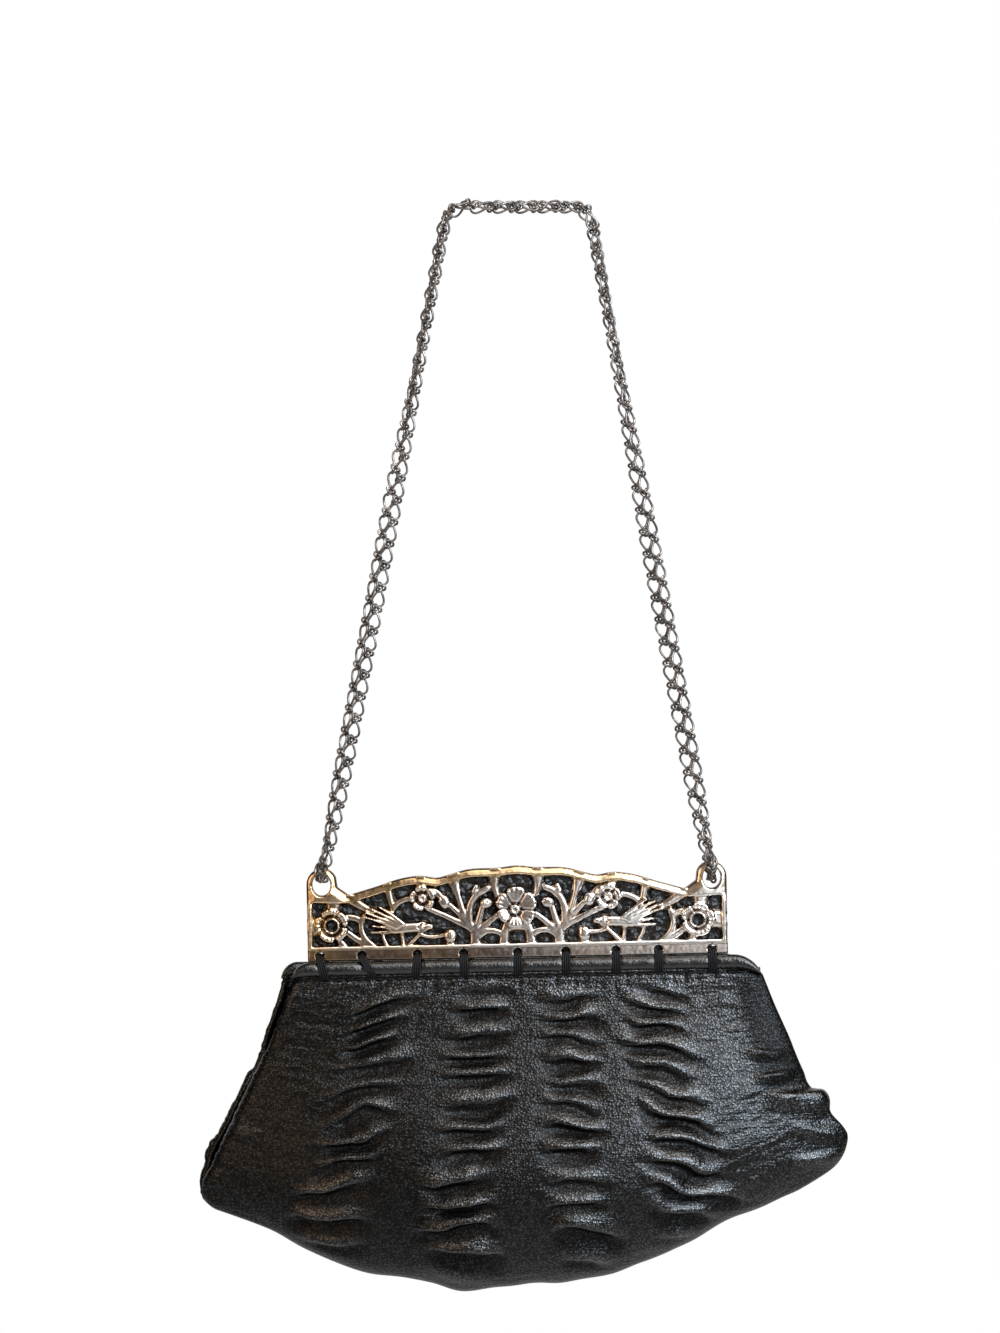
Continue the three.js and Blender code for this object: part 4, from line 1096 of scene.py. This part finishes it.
def crease_relief(name, x, drop):
    """Single creases, each with a fold that stands out below it."""
    total = np.zeros(x.shape)
    for panel, across, height, half, slope, rise, spread in CREASES:
        if panel == name:
            angle = math.radians(slope)
            along = (x - across) * math.cos(angle) + (drop - height) * math.sin(angle)
            below = ((drop - height) * math.cos(angle) - (x - across) * math.sin(angle)) / spread
            lip = smoothstep(below, -CREASE_LIP, CREASE_LIP) * (1 - smoothstep(below, CREASE_LIP, 1))
            total += rise * lip * smoothstep(1 - np.abs(along) / half, 0, CREASE_TAPER)
    return total


def right_edge(across):
    """The smooth band along the right side, dull and with painted shade on the front: 0 on the panel, 1 at
    its edge.
    """
    return smoothstep(across, *EDGE_BAND["shares"])


def fine_relief(across, down, seed):
    """Small wrinkles across the panel, broad unevenness, and puckers under the stitches."""
    sides = WRINKLE_RISE["middle"] + smoothstep(np.abs(across), *WRINKLE_RISE["sides"])
    sides = sides - WRINKLE_RISE["band"] * right_edge(across)
    wrinkles = WRINKLE_RISE["rise"] * panel_noise(across, down, WRINKLES, seed) * sides
    broad = BROAD_RISE["rise"] * panel_noise(across, down, BROAD_BUMPS, seed)
    under = np.exp(-(((down - PUCKER_RISE["down"]) / PUCKER_RISE["half"]) ** 2))
    puckers = panel_noise(across, down, PUCKERS, seed) * under
    return wrinkles + broad * smoothstep(down, *BROAD_RISE["down"]) + PUCKER_RISE["rise"] * puckers


def unit(vectors):
    return vectors / np.maximum(np.linalg.norm(vectors, axis=-1, keepdims=True), TINY)


def make_panel(name, facing, look, seed):
    """A ruched leather wall: folds outside, plain and with fewer points inside."""
    across, keep, down = panel_grid()
    x, z = panel_base(name, across, down)
    depth = SEAM_HALF_GAP + half_depth(across, down) * keep
    base = np.stack(np.broadcast_arrays(x, depth, z), axis=-1)
    normal = unit(np.cross(np.gradient(base, axis=1), np.gradient(base, axis=0)))
    free = smoothstep(keep, *RELIEF_ENDS[0]) * smoothstep(1 - down, *RELIEF_ENDS[1])
    folds, sag = gather_relief(across, down, -z, seed)
    groove = np.exp(-(((-z - STITCH["drop"]) / STITCH_GROOVE["half"]) ** 2))
    creases = crease_relief(name, x, -z)
    relief = (folds + creases + fine_relief(across, down, seed)) * free
    outer = base + normal * (relief - STITCH_GROOVE["depth"] * groove)[..., None]
    outer[..., 2] -= sag * free
    outer[..., 1] = np.maximum(outer[..., 1], SEAM_HALF_GAP)
    inner = outer[::2, ::2].copy()
    inner[..., 0] -= WALL * (np.sign(across) * np.abs(across) ** WALL_TURN)[:, ::2]
    inner[..., 1] = np.maximum(inner[..., 1] - WALL, SEAM_HALF_GAP)
    inner[..., 2] += WALL * down[::2] ** WALL_TURN
    # Crest value: polish on the fold crests, and painted shade in the creases and the stitch groove
    crest = CREST_SHADE_SHEEN["middle"] + folds / CREST_SHADE_SHEEN["folds"] + creases / CREST_SHADE_SHEEN["creases"] - CREST_SHADE_SHEEN["groove"] * groove
    # painted sheen along the top and towards the right side, where the light falls
    crest = crest + CREST_SHADE_SHEEN["top"] * (1 - smoothstep(down, *TOP_SHEEN_FADE))
    crest = crest + CREST_SHADE_SHEEN["right"] * np.maximum(across, SIDE_SHEEN_LEFT_END)
    # painted shade along the right side of the front, where the leather turns away from the light
    if facing == FRONT:
        shaded_and_dulled = EDGE_BAND["shade_and_dull"] * right_edge(across)
        crest = crest - shaded_and_dulled * (1 - smoothstep(down, *EDGE_BAND["ends"]))
    crest = np.clip(crest, 0, 1)
    shape = Shape()
    faces = sheet_faces(*outer.shape[:2])
    points = np.vstack([outer.reshape(-1, 3), inner.reshape(-1, 3)]) * (1, facing, 1)
    values = np.concatenate([crest.ravel(), np.full(inner.shape[0] * inner.shape[1], CREST_SHADE_SHEEN["middle"])])
    shape.add(points, [face[::-1] for face in faces] if facing < 0 else faces, crest=values)
    return piece(f"pouch_{name}", shape, look, [f"panel_{name}"])


def sheet_faces(rows, columns):
    """Faces of an outer grid, an inner grid of every second point, and the rim between them."""
    outer = np.arange(rows * columns).reshape(rows, columns)
    inner = outer.size + np.arange(((rows + 1) // 2) * ((columns + 1) // 2)).reshape((rows + 1) // 2, -1)

    def quads(grid):
        return np.stack([grid[:-1, :-1], grid[:-1, 1:], grid[1:, 1:], grid[1:, :-1]], axis=-1).reshape(-1, 4)

    faces = quads(outer).tolist() + quads(inner)[:, ::-1].tolist()
    rims = [(outer[0][::-1], inner[0][::-1]), (outer[-1], inner[-1])]
    rims += [(outer[:, 0], inner[:, 0]), (outer[:, -1][::-1], inner[:, -1][::-1])]
    for fine, coarse in rims:
        for i in range(len(coarse) - 1):
            faces.append([int(n) for n in (*fine[2 * i : 2 * i + 3][::-1], coarse[i], coarse[i + 1])][::-1])
    return faces


# Tubes for the binding, thread and chain


def tube(path, radius, sides, up, closed=False):
    """Points and faces of a round tube along a path; up is a direction that the path never takes."""
    path = np.asarray(path, float)
    if closed:
        heading = unit(np.roll(path, -1, axis=0) - np.roll(path, 1, axis=0))
    else:
        heading = unit(np.gradient(path, axis=0))
    side = unit(np.cross(heading, up))
    rise = np.cross(side, heading)
    angle = np.linspace(0, 2 * math.pi, sides, endpoint=False)[None, :, None]
    radius = np.broadcast_to(radius, len(path))[:, None, None]
    points = path[:, None] + radius * (np.cos(angle) * side[:, None] + np.sin(angle) * rise[:, None])
    rings = len(path)
    faces = []
    for i in range(rings if closed else rings - 1):
        for j in range(sides):
            a, b = i * sides + j, i * sides + (j + 1) % sides
            c, d = ((i + 1) % rings) * sides + (j + 1) % sides, ((i + 1) % rings) * sides + j
            faces.append([a, d, c, b])
    if not closed:
        faces += [list(range(sides)), [(rings - 1) * sides + j for j in reversed(range(sides))]]
    return points.reshape(-1, 3), faces


def make_binding(name, facing, look):
    """A rolled strip, pinched where each lace crosses it, whose top rounds down at both ends."""
    left, right = BINDING_ENDS[name]
    across = lerp(left, right, (1 - np.cos(np.linspace(0, math.pi, BINDING_RINGS))) / 2)
    fall = np.zeros(across.shape)
    droop = np.zeros(across.shape)
    for side, inward in ((-1, across - left), (1, right - across)):
        away = np.clip(1 - inward / BINDING_ROUNDING[side], 0, 1)
        droop = droop + BINDING_DROOP[side] * away**2
        fall = np.maximum(fall, 1 - np.sqrt(1 - np.minimum(away, BINDING_TIP) ** 2))
    places = np.array(LACE_PLACES) * -facing
    pinch = sum(np.exp(-(((across - place) / BINDING_PINCH["half"]) ** 2)) for place in places)
    swell = noise(across / BINDING_SWELL["length"], across * 0, BINDING_SWELL["seed"])
    height = (BINDING_HEIGHT * (1 - fall) - BINDING_PINCH["flattens"] * pinch) / 2
    depth = BINDING_DEPTH / 2 - BINDING_PINCH["dent"] * pinch + BINDING_SWELL["rise"] * swell
    depth = depth * np.sqrt(1 - BINDING_TAPER * fall**3)
    middle = -BINDING_GAP - BINDING_HEIGHT + height - droop
    turn = np.linspace(0, 2 * math.pi, BINDING_SIDES, endpoint=False)
    out = BINDING_SETBACK + depth[:, None] * np.cos(turn)
    z = middle[:, None] + height[:, None] * np.sin(turn)
    rings = np.stack(np.broadcast_arrays(across[:, None], facing * out, z), axis=-1)
    shape = Shape()
    shape.add(rings.reshape(-1, 3), ring_faces(len(across), BINDING_SIDES, facing))
    return piece(f"rolled_binding_{name}", shape, look, [f"binding_{name}"])


def ring_faces(rings, sides, facing):
    """Faces of a skin through rings of points, closed at both ends."""
    faces = []
    for i in range(rings - 1):
        for j in range(sides):
            a, b = i * sides + j, i * sides + (j + 1) % sides
            faces.append([a, b, b + sides, a + sides])
    faces += [list(reversed(range(sides))), [(rings - 1) * sides + j for j in range(sides)]]
    return faces if facing > 0 else [face[::-1] for face in faces]


def make_stitches(name, facing, look):
    """Short stitches along the panel's top, just under the binding."""
    left, right = (SIDE_EDGES[name, side][0][1] for side in (-1, 1))
    down = (STITCH["drop"] - SIDE_EDGES[name, -1][0][0]) / STITCH_PANEL_HEIGHT
    half, radius, margin = STITCH["length"] / 2, STITCH["radius"], STITCH["margin"]
    shape = Shape()
    for i in range(int((right - left - 2 * margin) / STITCH["pitch"])):
        middle = left + margin + (i + 0.5) * STITCH["pitch"]
        x = np.linspace(middle - half, middle + half, STITCH_POINTS)
        share = 2 * (x - left) / (right - left) - 1
        sink = ((x - middle) / half) ** STITCH_SINK["power"]
        y = SEAM_HALF_GAP + half_depth(share, down) + STITCH["stand"] + radius * (STITCH_SINK["lift"] - sink)
        z = np.full(x.shape, -STITCH["drop"]) + STITCH_SINK["dip"] * sink
        path = np.column_stack([x, facing * y, z])
        shape.add(*tube(path, radius * (1 - STITCH_SINK["thins"] * sink), THREAD_SIDES, (0, 1, 0)))
    return piece(f"stitching_{name}", shape, look, ())


def lace_route(across, facing, offset):
    """One strand of a bundle, out of its hole and down over the binding to the stitches."""
    lean = LACE_LEAN.get(across, 0) if facing == FRONT else 0
    rows = range(len(LACE_ROUTE))
    steps = np.linspace(0, rows[-1], LACE_STEPS)
    y, z, share = (curve_through(rows, column)(steps) for column in zip(*LACE_ROUTE))
    spread = offset * lerp(LACE_GATHERED["share"], 1, smoothstep(-z, *LACE_GATHERED["drops"]))
    return np.column_stack([across + spread + lean * share, facing * y, z])


def make_lacing(name, facing, look):
    shape = Shape()
    for place in np.array(LACE_PLACES) * -facing:
        for strand in range(LACE_STRANDS):
            offset = (strand - (LACE_STRANDS - 1) / 2) * LACE_SPREAD
            shape.add(*tube(lace_route(place, facing, offset), LACE_STRAND_RADIUS, THREAD_SIDES, (1, 0, 0)))
    nodes = [f"lace_{name}_{i + 1}" for i in range(len(LACE_PLACES))]
    return piece(f"lacing_{name}", shape, look, nodes)


# The chain


def chain_route(facing):
    """A strand's route from ear to ear over the hook."""
    top = EAR_HOLE["height"] + EAR_HOLE["half_height"] - BINDING_GAP - CHAIN_RADIUS
    face = FRAME_REAR + RIM_RELIEF + BINDING_GAP + CHAIN_RADIUS
    outward = -facing * CHAIN_PAIR_OFFSET
    halves = []
    for side in (-1, 1):
        ear, _, hole = hung([(side * EAR_HOLE["across"], 0, top)])[0]

        def leg(z):
            return lerp(LEG_TOP["across"], side * ear, (z + LEG_TOP["drop"]) / (hole + LEG_TOP["drop"]))

        half = [(side * ear, SEAM_HALF_GAP, hole)]
        for rise, out, spread in EAR_BENDS:
            half.append((leg(hole + max(0, rise)) + spread * outward, face + out, hole + rise))
        half += [(leg(-drop) + spread * outward, LEG_SETBACK, -drop) for drop, spread in LEG_BENDS]
        half += [(HOOK_HALF_SPAN + beyond, LEG_SETBACK, CHAIN_RADIUS - drop) for beyond, drop in HOOK_BENDS]
        halves.append(np.array(half) * (side, facing, 1))
    return np.vstack([halves[0], [(0, facing * LEG_SETBACK, CHAIN_RADIUS)], halves[1][::-1]])


def evenly_along(points, start, pitch, phase):
    """Places and headings at an even pitch along a curve through points; phase is a share of the pitch."""
    knots = np.concatenate([[0], np.cumsum(np.sqrt(np.linalg.norm(np.diff(points, axis=0), axis=1)))])
    fine = np.linspace(0, knots[-1], ROUTE_STEPS)
    line = np.column_stack([curve_through(knots, column)(fine) for column in points.T])
    length = np.concatenate([[0], np.cumsum(np.linalg.norm(np.diff(line, axis=0), axis=1))])
    count = int((length[-1] - 2 * start) / pitch)
    places = start + (length[-1] - 2 * start) * (np.arange(count) + phase) / count
    at = [np.interp(places, length, column) for column in line.T]
    heading = [np.interp(places, length, column) for column in unit(np.gradient(line, axis=0)).T]
    return np.column_stack(at), unit(np.column_stack(heading)), (length[-1] - 2 * start) / count


def link_parts(pitch, points_on):
    """A link along +X: a pear-shaped loop of wire and the knot that ties it to the next one."""
    turn = np.linspace(0, 2 * math.pi, LOOP_STEPS, endpoint=False)
    taper = points_on * LINK_TAPER * np.cos(turn)
    loop = np.column_stack(
        [LINK_LENGTH / 2 * np.cos(turn), LINK_WIDTH / 2 * np.sin(turn) * (1 - taper), np.zeros(turn.shape)]
    )
    knot_turn = np.linspace(0, 2 * math.pi, KNOT_STEPS, endpoint=False)
    knot = np.column_stack(
        [KNOT_SCALE * (np.sin(knot_turn) + 2 * np.sin(2 * knot_turn)),
         KNOT_SCALE * (np.cos(knot_turn) - 2 * np.cos(2 * knot_turn)), -KNOT_DEPTH * np.sin(3 * knot_turn)]
    )
    paths = (loop, knot + (pitch / 2, 0, 0))
    return [tube(path, WIRE_RADIUS, WIRE_SIDES, (0, 0, 1), True) for path in paths]


def add_ear_links(shape):
    """Rings of wire through both ears."""
    ring = np.linspace(0, 2 * math.pi, EAR_LINK_STEPS, endpoint=False)
    y = EAR_LINK["half_depth"] * np.cos(ring)
    middle = EAR_HOLE["height"] + EAR_HOLE["half_height"] + EAR_LINK["lift"]
    z = middle + EAR_LINK["half_height"] * np.sin(ring)
    for side in (-1, 1):
        for fan in EAR_LINK["fan"]:
            path = np.column_stack([side * EAR_HOLE["across"] + fan * np.cos(ring), y, z])
            shape.add(*tube(hung(path), EAR_LINK["wire"], EAR_LINK_SIDES, (1, 0, 0), True))


def make_chain(name, facing, look):
    """One strand of links. The front one takes in the rings through the ears."""
    shape = Shape()
    route = chain_route(facing)
    places, headings, pitch = evenly_along(route, CHAIN_START, LINK_PITCH, STRAND_PHASE[facing])
    parts = link_parts(pitch, facing)
    along = np.arange(len(places)) / TWIST_WANDER["links"] + TWIST_WANDER["shift"] * facing
    wander = noise(along, np.zeros(len(places)), TWIST_WANDER["seed"])
    twist = STRAND_TWIST[facing] + TWIST_WANDER["amount"] * wander
    for place, heading, turn in zip(places, headings, twist):
        flat = unit(np.cross(heading, (0, 1, 0)))
        side = flat * math.cos(turn) + np.cross(flat, heading) * math.sin(turn)
        basis = np.stack([heading, side, np.cross(heading, side)])
        for points, faces in parts:
            shape.add(place + points @ basis, faces)
    if facing == FRONT:
        add_ear_links(shape)
    return piece(f"chain_links_{name}", shape, look, [f"chain_{name}"], tilted=False)


# Stage, light and camera


def aimed(place, target):
    """The turn of a light or camera that looks from one point to another."""
    return (Vector(target) - Vector(place)).to_track_quat("-Z", "Y").to_euler()


def softbox(name, place, target, size, power, colour):
    """A soft square light, in metres and watts."""
    lamp = bpy.data.lights.new(name, "AREA")
    lamp.size = size
    lamp.energy = power
    lamp.spread = LIGHT_SPREAD
    lamp.color = colour
    made = bpy.data.objects.new(name, lamp)
    made.location = place
    made.rotation_euler = aimed(place, target)
    bpy.context.collection.objects.link(made)


def stage_plane(name, corners, look):
    mesh = bpy.data.meshes.new(name)
    mesh.from_pydata(corners, [], [(0, 1, 2, 3)])
    mesh.materials.append(look)
    made = bpy.data.objects.new(name, mesh)
    bpy.context.collection.objects.link(made)


def stage_look(name, shade, glow):
    made, tree, shader = new_material(name)
    surface = {"Base_Color": (shade, shade, shade, 1), "Roughness": STAGE_ROUGHNESS, "Specular_IOR_Level": 0}
    set_inputs(tree, shader, **surface, Emission_Color=(1, 1, 1, 1), Emission_Strength=glow)
    return made


def make_stage():
    """A pale floor and a white backdrop."""
    reach, floor, behind, top = (STAGE[key] for key in ("reach", "floor", "behind", "top"))
    near = [(-reach, -reach, floor), (reach, -reach, floor)]
    corner = [(-reach, behind, floor), (reach, behind, floor)]
    ground = near + corner[::-1]
    wall = corner + [(reach, behind, top), (-reach, behind, top)]
    stage_plane("floor", ground, stage_look("floor", FLOOR_SHADE, 0.0))
    stage_plane("backdrop", wall, stage_look("backdrop", 0.0, BACKDROP_GLOW))


def make_light():
    bag = (0, 0, -(HANG_DROP + LIGHT_AIM) * MM)
    for name, (place, size, power, colour) in LIGHTS.items():
        softbox(name, place, bag, size, power, colour)
    world = bpy.data.worlds.new("room")
    world.use_nodes = True
    world.node_tree.nodes["Background"].inputs["Color"].default_value = (*ROOM_GLOW, 1)
    bpy.context.scene.world = world


def make_camera():
    """Level and straight on, framed as the photograph is."""
    lens = bpy.data.cameras.new("camera")
    lens.sensor_width = SENSOR_WIDTH
    lens.lens = SENSOR_WIDTH * CAMERA_DISTANCE / (PHOTO_SIZE[1] * PHOTO_PIXEL)
    lens.clip_end = CAMERA_FAR
    made = bpy.data.objects.new("camera", lens)
    across = (PHOTO_SIZE[0] / 2 - PHOTO_HOOK[0]) * PHOTO_PIXEL
    drop = (PHOTO_SIZE[1] / 2 - PHOTO_HOOK[1]) * PHOTO_PIXEL
    made.location = Vector((across, -CAMERA_DISTANCE, -drop)) * MM
    made.rotation_euler = (math.pi / 2, 0, 0)
    bpy.context.collection.objects.link(made)
    bpy.context.scene.camera = made


make_camera()
make_light()
make_stage()
bpy.context.scene.view_settings.view_transform = "Standard"

silver = cast_look()
steel = chain_look()
black_thread = thread_look()
ruched, plain, crinkled = (leather_look(name, *values) for name, values in LEATHERS.items())

for name, facing in SIDES.items():
    make_chain(name, facing, steel)
make_castings(silver)
for backing in make_backings(crinkled):
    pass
for pin in ("hinge_pin_left", "hinge_pin_right"):
    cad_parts[pin].data.materials.clear()
    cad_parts[pin].data.materials.append(steel)
for name, facing in SIDES.items():
    panel = make_panel(name, facing, ruched, PANEL_SEED + facing)
    binding = make_binding(name, facing, plain)
    make_stitches(name, facing, black_thread)
    make_lacing(name, facing, black_thread)
